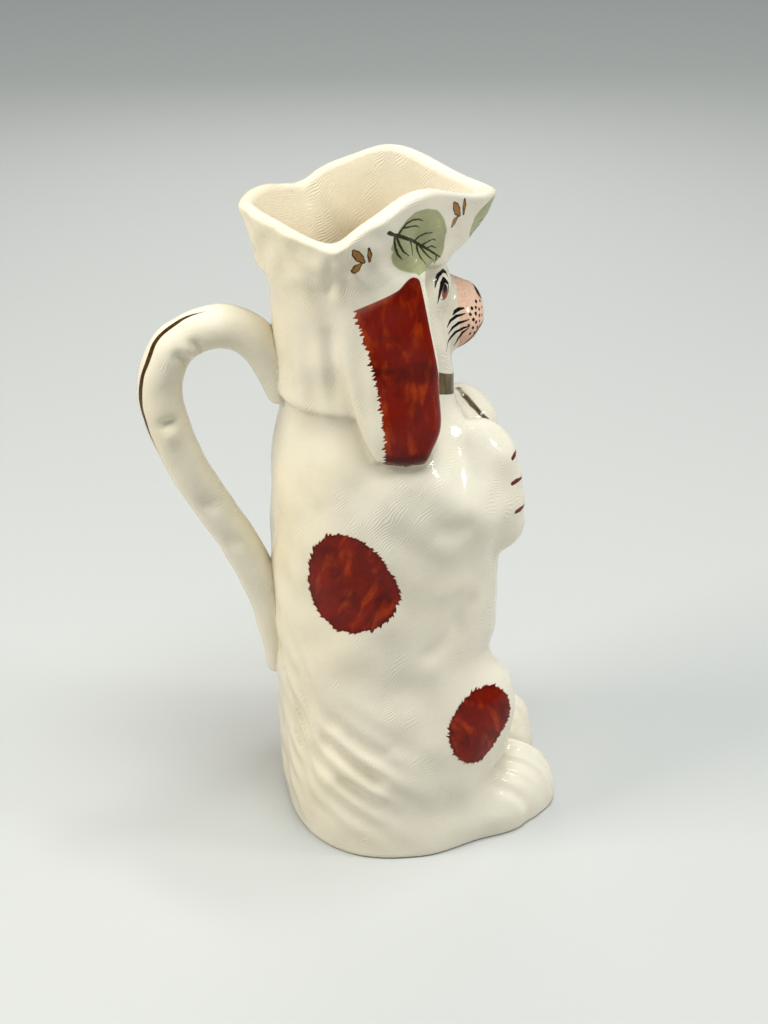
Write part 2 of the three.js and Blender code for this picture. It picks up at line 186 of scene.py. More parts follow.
@dataclass(frozen=True)
class Ear:
    """A hanging flap with rounded edges: by height, its front and rear edges and how far out it
    hangs. Its middle hangs furthest out, and it bows in from there."""

    front: tuple = ((160, 3), (168, -4), (178, -8.5), (190, -8.5), (205, -7), (220, -5), (238, -2.5))
    rear: tuple = ((160, 12), (172, 18), (185, 22), (200, 25), (215, 28), (230, 28), (240, 24))
    out: tuple = ((160, 37), (175, 37), (200, 34.5), (225, 31.5), (240, 27.5))
    thickness: float = 9
    round: float = 4
    bottom: float = 166
    top: float = 238.5
    top_slope: float = 0.38
    bottom_slope: float = 0.12
    rear_slope: float = 0.55
    middle: float = 4
    bow: float = 0.007
    soft: float = 2.4

    def distance(self, p: Array) -> Array:
        """The distance from a bent plate: its outline and its faces, joined by a round edge."""
        x, y, z = np.moveaxis(p, -1, 0)
        top = self.top - self.top_slope * np.maximum(y - 2, 0)
        bottom = self.bottom + self.bottom_slope * np.abs(y - self.middle)
        side = np.maximum(curve(self.front, z) - y, self.rear_slope * (y - curve(self.rear, z)))
        side = np.maximum(side, np.maximum(z - top, bottom - z))
        bowed = curve(self.out, z) - self.bow * (y - self.middle) ** 2
        face = np.abs(x - bowed) - self.thickness / 2
        a, b = side + self.round, face + self.round
        past = np.hypot(np.maximum(a, 0), np.maximum(b, 0))
        return past + np.minimum(np.maximum(a, b), 0) - self.round


@dataclass(frozen=True)
class Folds:
    """Slanting folds of the coat: middle and reach in y and z, slope, spacing and depth."""

    at: tuple[float, float]
    reach: tuple[float, float]
    slope: float
    spacing: float
    depth: float

    def height(self, y: Array, z: Array) -> Array:
        """Waves across the slope, under a bell round the middle."""
        window = bump(y - self.at[0], self.reach[0]) * bump(z - self.at[1], self.reach[1])
        across = z - self.at[1] - self.slope * (y - self.at[0])
        return self.depth * window * crests(across, self.spacing)


@dataclass
class Figure:
    """The dog's form. Its sections give, by height: reach in front, reach behind, half width,
    where the section is widest, and how square it is in front and behind."""

    wall: float = 4.2
    base_round: float = 1.6
    floor: float = 6
    sections: tuple = (
        (0, 41, 46.5, 53.4, 3, 1.9, 2.35),
        (25, 40, 48.3, 51.6, 4, 2.2, 2.35),
        (60, 32.6, 49.8, 47.8, 5, 2.2, 2.1),
        (84, 37.8, 50.1, 46.4, 5.6, 2.2, 2.1),
        (104, 38.7, 50.2, 45.3, 6, 2.2, 2.1),
        (135, 37.4, 50.2, 43.5, 7, 2.2, 2.1),
        (158, 31, 48.4, 39.5, 8, 2.1, 2.1),
        (174, 20.5, 45.0, 33.0, 10, 2.1, 2.1),
        (188, 19.0, 43.6, 29.5, 12, 2.1, 2.2),
        (204, 17.4, 44.6, 30.0, 13, 2.3, 2.2),
        (220, 14.0, 47.0, 31.0, 15, 2.3, 2.0),
        (230, 12.4, 50.0, 31.5, 18, 1.9, 1.8),
        (240, 25.2, 53.0, 34.5, 22, 1.4, 1.6),
        (251, 33.4, 56.6, 39.0, 26, 1.2, 1.5),
        (265, 38.2, 60.0, 41.5, 26, 1.2, 1.5),
    )
    masses: tuple = (
        Mass((30, -4, 44), (19.5, 36, 32), -12, 0, 9),          # haunch
        Mass((26, -20.6, 56.7), (16, 20.6, 17.6), -20, 0, 6),   # knee
        Mass((23, -38.4, 2.6), (16.4, 23.8, 25), 0, 16.5, 6),   # hind foot
        Mass((15, -26, 6), (17, 20, 12), 0, 0, 8),              # clay between the feet
        Mass((15, -23.6, 140.2), (16, 18.9, 23), -5.5, 0, 6),   # forepaw
        Mass((0, -16.5, 207.9), (12.1, 14.7, 12.3), 0, 0, 4),   # muzzle
        Mass((5.5, -17.3, 206.2), (8.3, 10.6, 9.7), 0, 0, 2.5), # jowl
        Mass((9, -7, 224), (13, 9.6, 10), 0, 0, 5),             # brow
    )
    limbs: tuple = (
        Limb((32, -6, 4), (30, -30, 6), (17, 15.5), 9),         # hock
        Limb((30, 2, 152), (26.5, -17, 139), (12, 15.2), 10),   # foreleg
        Limb((16, -28.5, 155.3), (16, -33, 130.2), (13.3, 12.9), 5),  # knuckles
        Limb((0, -8, 216.2), (0, -23.7, 214), (9.1, 6.7), 4),   # bridge of the nose
    )
    ear: Ear = field(default_factory=Ear)
    flank: Folds = Folds((25, 36), (14, 19), 0.72, 11.5, 1.3)
    back: Folds = Folds((44, 50), (8, 28), 2.6, 13, 0.8)
    hair_bottom: float = 183.5
    hair_front: float = 22
    hair_rise: float = 3
    flap_bottom: float = 236
    flap_sink: float = 9
    flap_rear: float = 34
    flap_rise: float = 2.6
    crest_base: float = 255.3
    crest_rise: float = 9.4
    crest_dip: float = 5.4

    def __post_init__(self) -> None:
        """Read the sections once at closely spaced heights."""
        self.heights = np.arange(0, self.sections[-1][0] + 1, 0.25)
        columns = np.array(self.sections, float).T
        self.table = [curve(list(zip(columns[0], column)), self.heights) for column in columns[1:]]

    def section(self, index: int, z: Array) -> Array:
        """One column of the sections at any height."""
        return np.interp(z, self.heights, self.table[index])

    def middle(self, z: Array) -> Array:
        """Where the section is widest."""
        return self.section(3, z)

    def trunk(self, p: Array) -> Array:
        """The distance from a rounded-square section: x and y as shares of its reach, raised to
        its squareness, added and brought back, give how many times too far out a point is."""
        x, y, z = np.moveaxis(p, -1, 0)
        mid = self.middle(z)
        ahead = y < mid
        reach = np.where(ahead, self.section(0, z) + mid, self.section(1, z) - mid)
        power = np.where(ahead, self.section(4, z), self.section(5, z))
        softness = 3.2 * ramp(226, 246, z)
        across = np.hypot(x, softness) / self.section(2, z)
        along = np.hypot(y - mid, softness) / reach
        times = (across ** power + along ** power + 1e-12) ** (1 / power)
        return np.sqrt(x * x + (y - mid) ** 2 + softness ** 2) * (1 - 1 / times)

    def core(self, p: Array) -> Array:
        """The distance from the trunk, masses and limbs together: the form that the inside follows."""
        d = self.trunk(p)
        for part in (*self.masses, *self.limbs):
            d = blend(d, part.distance(p), part.soft)
        return d

    def brim(self, y: Array) -> Array:
        """The lower edge of the hat's turned-up side, which sinks towards the back."""
        return self.flap_bottom - self.flap_sink * ramp(-2, 24, y)

    def coats(self, p: Array, trunk: Array, d: Array) -> Array:
        """Lay the back hair and the hat's turned-up side over the head as thin coats."""
        y, z = p[..., 1], p[..., 2]
        rise = self.hair_rise * (1 - ramp(198, 226, z)) - 0.4
        hair = overlap(overlap(trunk - rise, self.hair_bottom - z, 2), self.hair_front - y, 5)
        edge = self.brim(y) - 6 * ramp(-4, -16, y)
        flap = overlap(overlap(trunk - self.flap_rise, edge - z, 3), y - self.flap_rear, 4)
        return blend(blend(d, hair, 6), flap, 3)

    def ridges(self, p: Array) -> Array:
        """The folds on the flank and back, and the ridges between toes and between claws."""
        x, y, z = np.moveaxis(p, -1, 0)
        coat = ramp(14, 24, x) * (self.flank.height(y, z) + self.back.height(y, z))
        toes = 0.35 * ramp(-28, -42, y) * bump(z - 12, 15) * crests(x - 22, 6.6)
        window = ramp(-30, -40, y) * ramp(27, 17, x) * bump(z - 144.5, 19)
        return coat + toes - 0.3 * window * crests(z - 144.5, 11.5)

    def head(self, p: Array) -> Array:
        """The distance from everything but the ears, on either side of the middle."""
        p = fold(p)
        return self.coats(p, self.trunk(p), self.core(p))

    def cover(self, p: Array) -> Array:
        """How far the ear stands over the head: less than nothing away from the ear."""
        return self.head(p) - self.ear.distance(fold(p))

    def outside(self, p: Array) -> Array:
        """The distance from the finished outside, on either side of the middle."""
        p = fold(p)
        return blend(self.head(p), self.ear.distance(p), self.ear.soft) - self.ridges(p)

    def inside(self, p: Array) -> Array:
        """The distance from the inner face of the wall."""
        return self.core(fold(p)) + self.wall

    def crest(self, y: Array) -> Array:
        """The height of the hat's edge: level, with a rise beside the spout and a dip at each corner."""
        rise = self.crest_rise * bump(y + 5, 18.5)
        return self.crest_base + rise - self.crest_dip * bump(y - 33, np.where(y > 33, 13, 10))


def gradient(distance: Field, p: Array, step: float = 0.25) -> Array:
    """The direction away from a form, from the distance a little to each side.

    Args:
        distance: the form.
        p: points, in their last axis.
        step: how far to each side.

    Returns:
        A vector of length 1 for each point.
    """
    shifts = step * np.eye(3)
    slope = np.stack([distance(p + shift) - distance(p - shift) for shift in shifts], -1)
    return slope / (np.linalg.norm(slope, axis=-1, keepdims=True) + 1e-12)


@dataclass
class Casting:
    """The slip casting: a net on the outside, over the lip and down the inside."""

    figure: Figure
    columns: int = 300
    outer_rows: int = 236
    inner_rows: int = 40
    lip_rows: int = 6
    first_columns: int = 72
    first_outer_rows: int = 44
    first_inner_rows: int = 14
    front_crowding: float = 0.36
    samples: int = 150
    ray_steps: int = 60
    outer_start: float = 95.0
    outer_pace: float = 0.6
    inner_start: float = 4.0
    inner_pace: float = 0.5
    settling: float = 0.6

    def bearings(self, count: int) -> Array:
        """Directions round the figure, closer together on its face."""
        turn = 2 * np.pi * np.arange(count) / count
        return turn - self.front_crowding * np.sin(turn)

    def at(self, bearing: Array, reach: Array, z: Array) -> Array:
        """The point a reach away from the section's middle line, on a bearing and at a height."""
        y = self.figure.middle(z) - reach * np.cos(bearing)
        return np.stack([reach * np.sin(bearing), y, z], -1)

    def outer_reach(self, bearing: Array, z: Array) -> Array:
        """Where a level ray leaves the outside: steps inward by the distance left to go."""
        reach = np.full(np.shape(z), self.outer_start)
        for _ in range(self.ray_steps):
            reach = reach - self.outer_pace * self.figure.outside(self.at(bearing, reach, z))
        return reach

    def inner_reach(self, bearing: Array, z: Array) -> Array:
        """Where the same ray meets the inner face: steps outward until the face is reached."""
        reach = np.full(np.shape(z), self.inner_start)
        for _ in range(self.ray_steps):
            gap = np.minimum(self.figure.inside(self.at(bearing, reach, z)), 0)
            reach = reach - self.inner_pace * gap
        return reach

    def settle(self, net: Array, distance: Field, loose: int, close: int) -> Array:
        """Even a net out: every point moves to the middle of its four neighbours, at first
        freely, then along the form only and back onto it. The first and last rows stay.

        Args:
            net: rows of rings of points.
            distance: the form that the net lies on.
            loose: passes that move freely.
            close: passes that keep to the form.

        Returns:
            The net on the form.
        """
        for step in range(loose + close):
            around = np.roll(net, 1, 1) + np.roll(net, -1, 1)
            pull = 0.25 * (around[1:-1] + net[:-2] + net[2:]) - net[1:-1]
            moved = net[1:-1] + self.settling * pull
            if step >= loose:
                normal = gradient(distance, net[1:-1])
                pull = pull - normal * np.sum(pull * normal, -1, keepdims=True)
                moved = net[1:-1] + self.settling * pull
                moved = moved - normal * np.clip(distance(moved), -2, 2)[..., None]
            net = np.concatenate([net[:1], moved, net[-1:]])
        return net

    def first_net(self, reach: Reach, start: Array, end: Array, rows: int, distance: Field) -> Array:
        """A coarse net over one face: rings spread by length along each bearing's profile, their
        heights evened out round the form, and the net settled on it.

        Args:
            reach: the face, as a reach on a bearing and height.
            start: height of the first ring on each bearing.
            end: height of the last ring on each bearing.
            rows: how many rings.
            distance: the face, as a distance.

        Returns:
            Rows of rings of points.
        """
        bearing = self.bearings(self.first_columns)
        z = start + (end - start) * np.linspace(0, 1, self.samples + 1)[:, None]
        profile = np.hypot(np.diff(reach(bearing[None] + 0 * z, z), axis=0), np.diff(z, axis=0))
        length = np.concatenate([np.zeros((1, len(bearing))), np.cumsum(profile, 0)])
        share = np.linspace(0, 1, rows)
        levels = np.stack([np.interp(share * l[-1], l, h) for l, h in zip(length.T, z.T)], 1)
        even = levels
        for _ in range(12):
            even = (np.roll(even, 1, 1) + 2 * even + np.roll(even, -1, 1)) / 4
        even = np.minimum(even, np.maximum(start, end))
        levels[1:-1] = even[1:-1]
        turned = bearing[None] + 0 * levels
        return self.settle(self.at(turned, reach(turned, levels), levels), distance, 7, 12)

    def refine(self, net: Array, rows: int, distance: Field) -> Array:
        """Divide a net more finely: a cubic through its rings and round each ring, then back
        onto the form.

        Args:
            net: the coarse net.
            rows: rings wanted.
            distance: the form that it lies on.

        Returns:
            The fine net.
        """
        def cubic(values: Array, place: Array, closed: bool) -> Array:
            base = np.floor(place).astype(int)
            if not closed:
                base = np.minimum(base, len(values) - 2)
            t = (place - base)[:, None, None]
            index = base[:, None] + np.arange(-1, 3)
            index = index % len(values) if closed else np.clip(index, 0, len(values) - 1)
            a, b, c, d = np.moveaxis(values[index], 1, 0)
            bend = (2 * a - 5 * b + 4 * c - d) * t + (3 * b - a - 3 * c + d) * t * t
            return b + 0.5 * t * ((c - a) + bend)

        first, last = net.shape[0] - 1, net.shape[1]
        net = cubic(net, np.linspace(0, first, rows), False)
        net = cubic(net.swapaxes(0, 1), np.arange(self.columns) * last / self.columns, True)
        return self.settle(net.swapaxes(0, 1), distance, 0, 6)

    def crest_on(self, bearing: Array) -> Array:
        """The crest's height on each bearing, by going between reach and crest until they agree."""
        z = np.full(len(bearing), self.figure.crest_base)
        for _ in range(12):
            y = self.figure.middle(z) - self.outer_reach(bearing, z) * np.cos(bearing)
            z = 0.5 * (z + self.figure.crest(y))
        return z

    def lip(self, outer: Array, inner: Array) -> Array:
        """Half a round between the tops of the outer and inner faces: an arm that turns over
        from the one to the other, lifted by half the wall at its middle."""
        angle = (np.pi * np.arange(1, self.lip_rows + 1) / (self.lip_rows + 1))[:, None, None]
        centre, arm = (outer + inner) / 2, (outer - inner) / 2
        lift = self.figure.wall / 2 * np.sin(angle) * np.array([0, 0, 1])
        return centre + arm * np.cos(angle) + lift

    def quarter(self, ring: Array, radius: float, rows: int, down: float) -> Array:
        """A quarter round that turns a ring inward, down to a level."""
        bearing = self.bearings(self.columns)
        inward = np.stack([-np.sin(bearing), np.cos(bearing)], -1)
        angle = (np.pi / 2 * np.arange(1, rows + 1) / rows)[:, None]
        flat = ring[None, :, :2] + (radius * (1 - np.cos(angle)))[..., None] * inward
        level = ring[None, :, 2] + (down - ring[None, :, 2]) * np.sin(angle)
        return np.concatenate([flat, level[..., None]], -1)

    def rings(self, relief: Field) -> Array:
        """Every ring of the casting, from the foot up the outside and down the inside.

        Args:
            relief: how far the outside stands out at each point.

        Returns:
            Rows of rings of points.
        """
        figure = self.figure
        tops = self.crest_on(self.bearings(self.first_columns)) - figure.wall / 2
        foot, well = figure.base_round + 0 * tops, figure.floor + 2 * figure.base_round + 0 * tops
        outer = self.first_net(self.outer_reach, foot, tops, self.first_outer_rows, figure.outside)
        outer = self.refine(outer, self.outer_rows, figure.outside)
        inner = self.first_net(self.inner_reach, tops, well, self.first_inner_rows, figure.inside)
        inner = self.refine(inner, self.inner_rows, figure.inside)
        normal = gradient(figure.outside, outer)
        outer = outer + normal * relief(outer)[..., None]
        lip = self.lip(outer[-1], inner[0])
        edge = self.quarter(outer[0], figure.base_round, 4, 0.0)[::-1]
        bed = self.quarter(inner[-1], 2 * figure.base_round, 4, figure.floor)
        return np.concatenate([edge, outer, lip, inner, bed])


@dataclass
class Handle:
    """The loop handle: an oval carried along a line in the middle plane. The line gives y, z and
    the handle's depth and width as shares of the full size, from its rolled upper end."""

    figure: Figure
    depth: float = 16.6
    width: float = 16.8
    steps: int = 124
    sides: int = 34
    cap_steps: int = 6
    line: tuple = (
        (45.4, 180.5, 0.60, 0.80), (47.4, 190, 0.84, 0.94), (52, 200, 0.97, 1), (59, 206.3, 1, 1),
        (68, 208.3, 1, 1), (77, 206, 1, 1), (84.5, 200, 1.02, 1), (88.5, 190.5, 1.03, 1.01),
        (88.8, 180, 1.03, 1.01), (86, 167.5, 1, 1), (80.5, 153.5, 0.95, 0.98),
        (72.5, 137.5, 0.92, 0.96), (63.5, 121.5, 0.92, 0.96), (56.5, 106, 0.90, 0.96),
        (52.3, 91, 0.80, 0.92), (50.2, 76, 0.66, 0.8), (49.4, 63, 0.46, 0.6),
    )

    def read(self, index: int, t: Array) -> Array:
        """One column of the line at a place along it."""
        return curve([(i, row[index]) for i, row in enumerate(self.line)], t)

    def centre(self, t: Array) -> Array:
        """The centre line, as y and z."""
        return np.stack([self.read(0, t), self.read(1, t)], -1)

    def along(self, t: Array) -> Array:
        """The centre line's direction."""
        last = len(self.line) - 1
        run = self.centre(np.minimum(t + 0.05, last)) - self.centre(np.maximum(t - 0.05, 0))
        return run / np.linalg.norm(run, axis=-1, keepdims=True)

    def rings(self) -> Array:
        """Rings of the oval: width by sine, depth by cosine with its inner side flatter, drawn in
        to a round cap at each end."""
        last = len(self.line) - 1
        cap = np.sin(np.pi / 2 * np.arange(1, self.cap_steps + 1) / (self.cap_steps + 1))
        t = np.concatenate([np.zeros(self.cap_steps), np.linspace(0, last, self.steps),
                            np.full(self.cap_steps, last)])
        push = np.concatenate([-cap[::-1], np.zeros(self.steps), cap])
        share = np.sqrt(1 - push ** 2)
        angle = 2 * np.pi * np.arange(self.sides) / self.sides
        out = np.cos(angle) * np.where(np.cos(angle) > 0, 1, 0.94)
        half_depth = (self.depth / 2 * self.read(2, t) * share)[:, None]
        half_width = (self.width / 2 * self.read(3, t) * share)[:, None]
        here, along = self.centre(t)[:, None], self.along(t)[:, None]
        here = here + along * (push * self.depth / 5)[:, None, None]
        return np.stack([
            half_width * np.sin(angle),
            here[..., 0] - along[..., 1] * half_depth * out,
            here[..., 1] + along[..., 0] * half_depth * out,
        ], -1)

    def trimmed(self, relief: Field) -> Array:
        """The rings pressed with dents, their ends held inside the thickness of the wall."""
        rings = self.rings()
        middle = rings.mean(1, keepdims=True)
        normal = rings - middle
        normal = normal / (np.linalg.norm(normal, axis=-1, keepdims=True) + 1e-9)
        rings = rings + normal * relief(rings)[..., None]
        for _ in range(4):
            lack = np.minimum(self.figure.inside(rings) - 1.8, 0)
            rings = rings - gradient(self.figure.inside, rings) * lack[..., None]
        return rings

    def spine(self, p: Array) -> tuple[Array, Array]:
        """Where points lie on the handle.

        Args:
            p: rows of points.

        Returns:
            How far out from the centre line towards the spine, and the place along the line.
        """
        t = np.linspace(0, len(self.line) - 1, 400)
        centre, along = self.centre(t), self.along(t)
        near = np.argmin(np.sum((p[:, None, 1:] - centre) ** 2, -1), 1)
        outward = np.stack([-along[:, 1], along[:, 0]], -1)[near]
        return np.sum((p[:, 1:] - centre[near]) * outward, -1), t[near]


@dataclass(frozen=True)
class Press:
    """A groove or dent pressed in the clay, or a ridge where its depth is less than nothing."""

    start: Point
    end: Point
    reach: float
    depth: float

    def height(self, p: Array) -> Array:
        """A bell across the stretch."""
        return -self.depth * bump(segment_distance(p, self.start, self.end)[0], self.reach)


@dataclass
class Relief:
    """What the modeller's tools and fingers left on the casting."""

    seed: int = 7
    waves: int = 70
    body: tuple = (
        Press((-39, 33, 58), (-49.5, 14, 49), 3.4, 1.0),
        Press((-38, 35, 48), (-49.5, 16, 37), 3.2, 1.0),
        Press((-43, 29, 32), (-50, 14, 26), 3.2, 0.9),
        Press((-33, 38, 17), (-45, 25, 18), 3.4, 0.7),
        Press((-15, 48, 67), (-25, 44, 43), 3.0, 0.7),
        Press((-25, 44, 72), (-39, 33, 58), 4.2, 0.8),
        Press((-37, 31, 244), (-30, 31, 228), 2.2, 0.9),
        Press((-36, 25, 241), (-33, 25, 231), 2.0, 0.5),
        Press((-29, 30, 214), (-27, 29, 183), 3.0, 1.1),
        Press((-42, -18, 140), (-44, -10, 139), 5.0, 1.5),
        Press((-43, -9, 134), (-43, -12, 130), 5.0, -0.6),
        Press((-38, -21, 105), (-41, -17, 100), 4.6, 1.8),
        Press((-40, -17, 115), (-43, -10, 114), 5.0, -0.8),
        Press((-41, -15, 95), (-45, -5, 89), 3.6, 1.1),
        Press((-27, 40, 150), (-30, 36, 146), 5.0, 0.9),
        Press((-38, 21, 156), (-39, 18, 152), 6.0, 0.7),
        Press((-37, 24, 241), (-34, 14, 237), 3.6, 1.2),
        Press((-35, 27, 236), (-29, 34, 229), 4.0, 2.0),
        Press((-41, 27, 250), (-40, 18, 247), 4.0, -0.6),
        Press((-16, -20, 172), (-16, -27, 168), 7.0, -2.4),
        Press((-22, -22.5, 166), (-31, -26, 153), 6.5, -1.7),
    )
    handle: tuple = (
        Press((-8, 88, 174.8), (-8, 86, 174.8), 2.0, 2.2),
        Press((-8, 87.5, 170), (-8, 86.5, 169), 3.0, -1.2),
        Press((-8, 82, 201), (-7, 79, 198.5), 2.0, 1.6),
        Press((-8, 79, 204), (-7, 77, 201.5), 1.8, -0.9),
        Press((-8, 76, 205.5), (-6.5, 74, 203), 1.9, 1.5),
        Press((-8, 86, 188), (-8, 83, 186), 3.4, 0.6),
        Press((-8, 74.5, 140.5), (-8, 73, 139.5), 2.6, 1.6),
        Press((-8, 66, 124), (-8, 64.5, 122), 2.6, 1.2),
    )

    def unevenness(self, p: Array, shortest: float, longest: float, height: float) -> Array:
        """A hand-made surface: plane waves in chance directions, of wavelengths within limits,
        added to a given usual height."""
        chance = np.random.default_rng(self.seed)
        direction = chance.normal(size=(self.waves, 3))
        direction /= np.linalg.norm(direction, axis=1, keepdims=True)
        length = chance.uniform(shortest, longest, self.waves)
        phase = chance.uniform(0, 2 * np.pi, self.waves)
        total = np.zeros(p.shape[:-1])
        for k in range(self.waves):
            total += np.cos(p @ direction[k] * (2 * np.pi / length[k]) + phase[k])
        return height * total * np.sqrt(2 / self.waves)

    def near(self, p: Array, presses: Sequence[Press]) -> Array:
        """The sum of presses, alike on both sides of the middle."""
        side = fold(p, -1)
        return sum(press.height(side) for press in presses)

    def on_body(self, p: Array) -> Array:
        """How far the outside stands out beyond the figure's form."""
        x, y, z = np.moveaxis(p, -1, 0)
        hat = ramp(226, 236, z) * ramp(258, 248, z)
        coarse = self.unevenness(p, 13, 32, 0.35) * ramp(2, 12, z)
        front = ramp(-26, -40, y) * ramp(6, 20, z) * ramp(46, 34, z)
        toes = 0.5 * front * crests(np.abs(x) - 22, 5.2)
        fine = self.unevenness(p, 8, 15, 0.5) * hat * ramp(-30, 0, y)
        locks = 0.45 * bump(z - 196, 17) * ramp(14, 20, y) * crests(y - 0.12 * z, 8.5)
        return self.near(p, self.body) + coarse + fine + toes + locks * ramp(12, 22, np.abs(x))

    def on_handle(self, p: Array) -> Array:
        """How far the handle's surface stands out beyond its oval."""
        return self.near(p, self.handle) + self.unevenness(p, 9, 22, 0.14)


def closed_object(name: str, rings: Array, start: Array, end: Array) -> bpy.types.Object:
    """A closed mesh of four-sided faces between neighbouring rings, with a fan at each end.

    Args:
        name: the object's name.
        rings: rows of rings of points, in millimetres.
        start: the middle of the first ring.
        end: the middle of the last ring.

    Returns:
        An object at the origin, in metres.
    """
    rows, around = rings.shape[:2]
    points = np.concatenate([rings.reshape(-1, 3), [start, end]]) * MM
    ring, i = np.meshgrid(np.arange(rows - 1), np.arange(around), indexing="ij")
    after = (i + 1) % around
    quads = np.stack([ring * around + i, ring * around + after,
                      (ring + 1) * around + after, (ring + 1) * around + i], -1).reshape(-1, 4)
    turn = np.arange(around)
    following = (turn + 1) % around
    base = rows * around
    top = (rows - 1) * around
    fans = np.concatenate([
        np.stack([np.full(around, base), following, turn], -1),
        np.stack([np.full(around, base + 1), top + turn, top + following], -1),
    ])
    corners = np.concatenate([quads.ravel(), fans.ravel()]).astype(np.int32)
    sizes = np.concatenate([np.full(len(quads), 4), np.full(len(fans), 3)])
    mesh = bpy.data.meshes.new(name)
    mesh.vertices.add(len(points))
    mesh.vertices.foreach_set("co", points.astype(np.float32).ravel())
    mesh.loops.add(len(corners))
    mesh.loops.foreach_set("vertex_index", corners)
    mesh.polygons.add(len(sizes))
    starts = np.concatenate([[0], np.cumsum(sizes)[:-1]])
    mesh.polygons.foreach_set("loop_start", starts.astype(np.int32))
    mesh.update(calc_edges=True)
    mesh.validate()
    made = bpy.data.objects.new(name, mesh)
    bpy.context.scene.collection.objects.link(made)
    return made


class Kind(Enum):
    """What a group's socket carries."""

    VALUE = "NodeSocketFloat"
    VECTOR = "NodeSocketVector"
    COLOUR = "NodeSocketColor"


class Graph:
    """Lays nodes in a tree with short calls. A number in a call is set on the node's own socket."""

    def __init__(self, tree: bpy.types.NodeTree) -> None:
        """Work in one tree."""
        self.tree = tree

    def add(self, kind: str, inputs: dict, **settings: object) -> bpy.types.Node:
        """A node with its settings and inputs.

        Args:
            kind: the node's type.
            inputs: a socket or a plain value for each input, by name or place.
            settings: the node's own settings.

        Returns:
            The node.
        """
        node = self.tree.nodes.new(kind)
        for name, value in settings.items():
            setattr(node, name, value)
        for key, value in inputs.items():
            if isinstance(value, Socket):
                self.tree.links.new(value, node.inputs[key])
            else:
                node.inputs[key].default_value = value
        return node

    def math(self, operation: str, *values: Socket | float) -> Socket:
        """One step of arithmetic."""
        return self.add("ShaderNodeMath", dict(enumerate(values)), operation=operation).outputs[0]

    def plus(self, a: Socket | float, b: Socket | float) -> Socket:
        """The sum of two values."""
        return self.math("ADD", a, b)

    def less(self, a: Socket | float, b: Socket | float) -> Socket:
        """A value less another."""
        return self.math("SUBTRACT", a, b)

    def times(self, a: Socket | float, b: Socket | float) -> Socket:
        """The product of two values."""
        return self.math("MULTIPLY", a, b)

    def line(self, value: Socket, slope: Socket | float, start: Socket | float) -> Socket:
        """A value times a slope, from a start."""
        return self.math("MULTIPLY_ADD", value, slope, start)

    def held(self, value: Socket) -> Socket:
        """A value held between 0 and 1."""
        return self.math("MINIMUM", self.math("MAXIMUM", value, 0.0), 1.0)

    def least(self, values: Sequence[Socket]) -> Socket:
        """The least of several values."""
        least = values[0]
        for value in values[1:]:
            least = self.math("MINIMUM", least, value)
        return least

    def vector(self, operation: str, *values: Socket | Sequence[float]) -> Socket:
        """One step of vector arithmetic that gives a vector."""
        return self.add("ShaderNodeVectorMath", dict(enumerate(values)), operation=operation).outputs[0]

    def measure(self, operation: str, *values: Socket | Sequence[float]) -> Socket:
        """One step of vector arithmetic that gives a number."""
        return self.add("ShaderNodeVectorMath", dict(enumerate(values)), operation=operation).outputs[1]

    def scale(self, vector: Socket | Sequence[float], by: Socket | float) -> Socket:
        """A vector times a number."""
        return self.add("ShaderNodeVectorMath", {0: vector, 3: by}, operation="SCALE").outputs[0]

    def split(self, vector: Socket) -> tuple[Socket, Socket, Socket]:
        """A vector's three parts."""
        return tuple(self.add("ShaderNodeSeparateXYZ", {0: vector}).outputs)

    def join(self, *parts: Socket | float) -> Socket:
        """A vector from its parts."""
        return self.add("ShaderNodeCombineXYZ", dict(enumerate(parts))).outputs[0]

    def step(self, value: Socket, start: float, end: float) -> Socket:
        """A smooth step from 0 at start to 1 at end, in either order."""
        low, high = min(start, end), max(start, end)
        limits = {"Value": value, "From Min": low, "From Max": high,
                  "To Min": float(start > end), "To Max": float(start < end)}
        return self.add("ShaderNodeMapRange", limits, interpolation_type="SMOOTHSTEP").outputs[0]

    def within(self, gap: Socket, soft: float) -> Socket:
        """1 where a gap is less than nothing and 0 outside, with a soft edge to each side."""
        return self.step(gap, soft, -soft)

    def mix(self, share: Socket | float, a: Socket | Colour, b: Socket | Colour) -> Socket:
        """A colour part of the way from a to b."""
        pair = [value if isinstance(value, Socket) else (*value, 1) for value in (a, b)]
        inputs = {"Factor": share, 6: pair[0], 7: pair[1]}
        return self.add("ShaderNodeMix", inputs, data_type="RGBA").outputs[2]

    def between(self, share: Socket | float, a: Socket | float, b: Socket | float) -> Socket:
        """A number part of the way from a to b."""
        return self.add("ShaderNodeMix", {"Factor": share, 2: a, 3: b}, data_type="FLOAT").outputs[0]

    def noise(self, place: Socket, scale: float, detail: float = 2, warp: float = 0) -> Socket:
        """Smooth chance values, about one wave to each 1/scale."""
        inputs = {"Vector": place, "Scale": scale, "Detail": detail, "Distortion": warp}
        return self.add("ShaderNodeTexNoise", inputs).outputs[0]

    def read(self, name: str) -> Socket:
        """A number kept on the mesh's points."""
        return self.add("ShaderNodeAttribute", {}, attribute_name=name).outputs["Fac"]

    def use(self, group: Group, **values: object) -> bpy.types.NodeOutputs:
        """Place a group, with its inputs by name."""
        node = self.add("ShaderNodeGroup", {}, node_tree=group.tree)
        for name, value in values.items():
            socket = node.inputs[name]
            if isinstance(value, Socket):
                self.tree.links.new(value, socket)
            else:
                socket.default_value = value
        return node.outputs


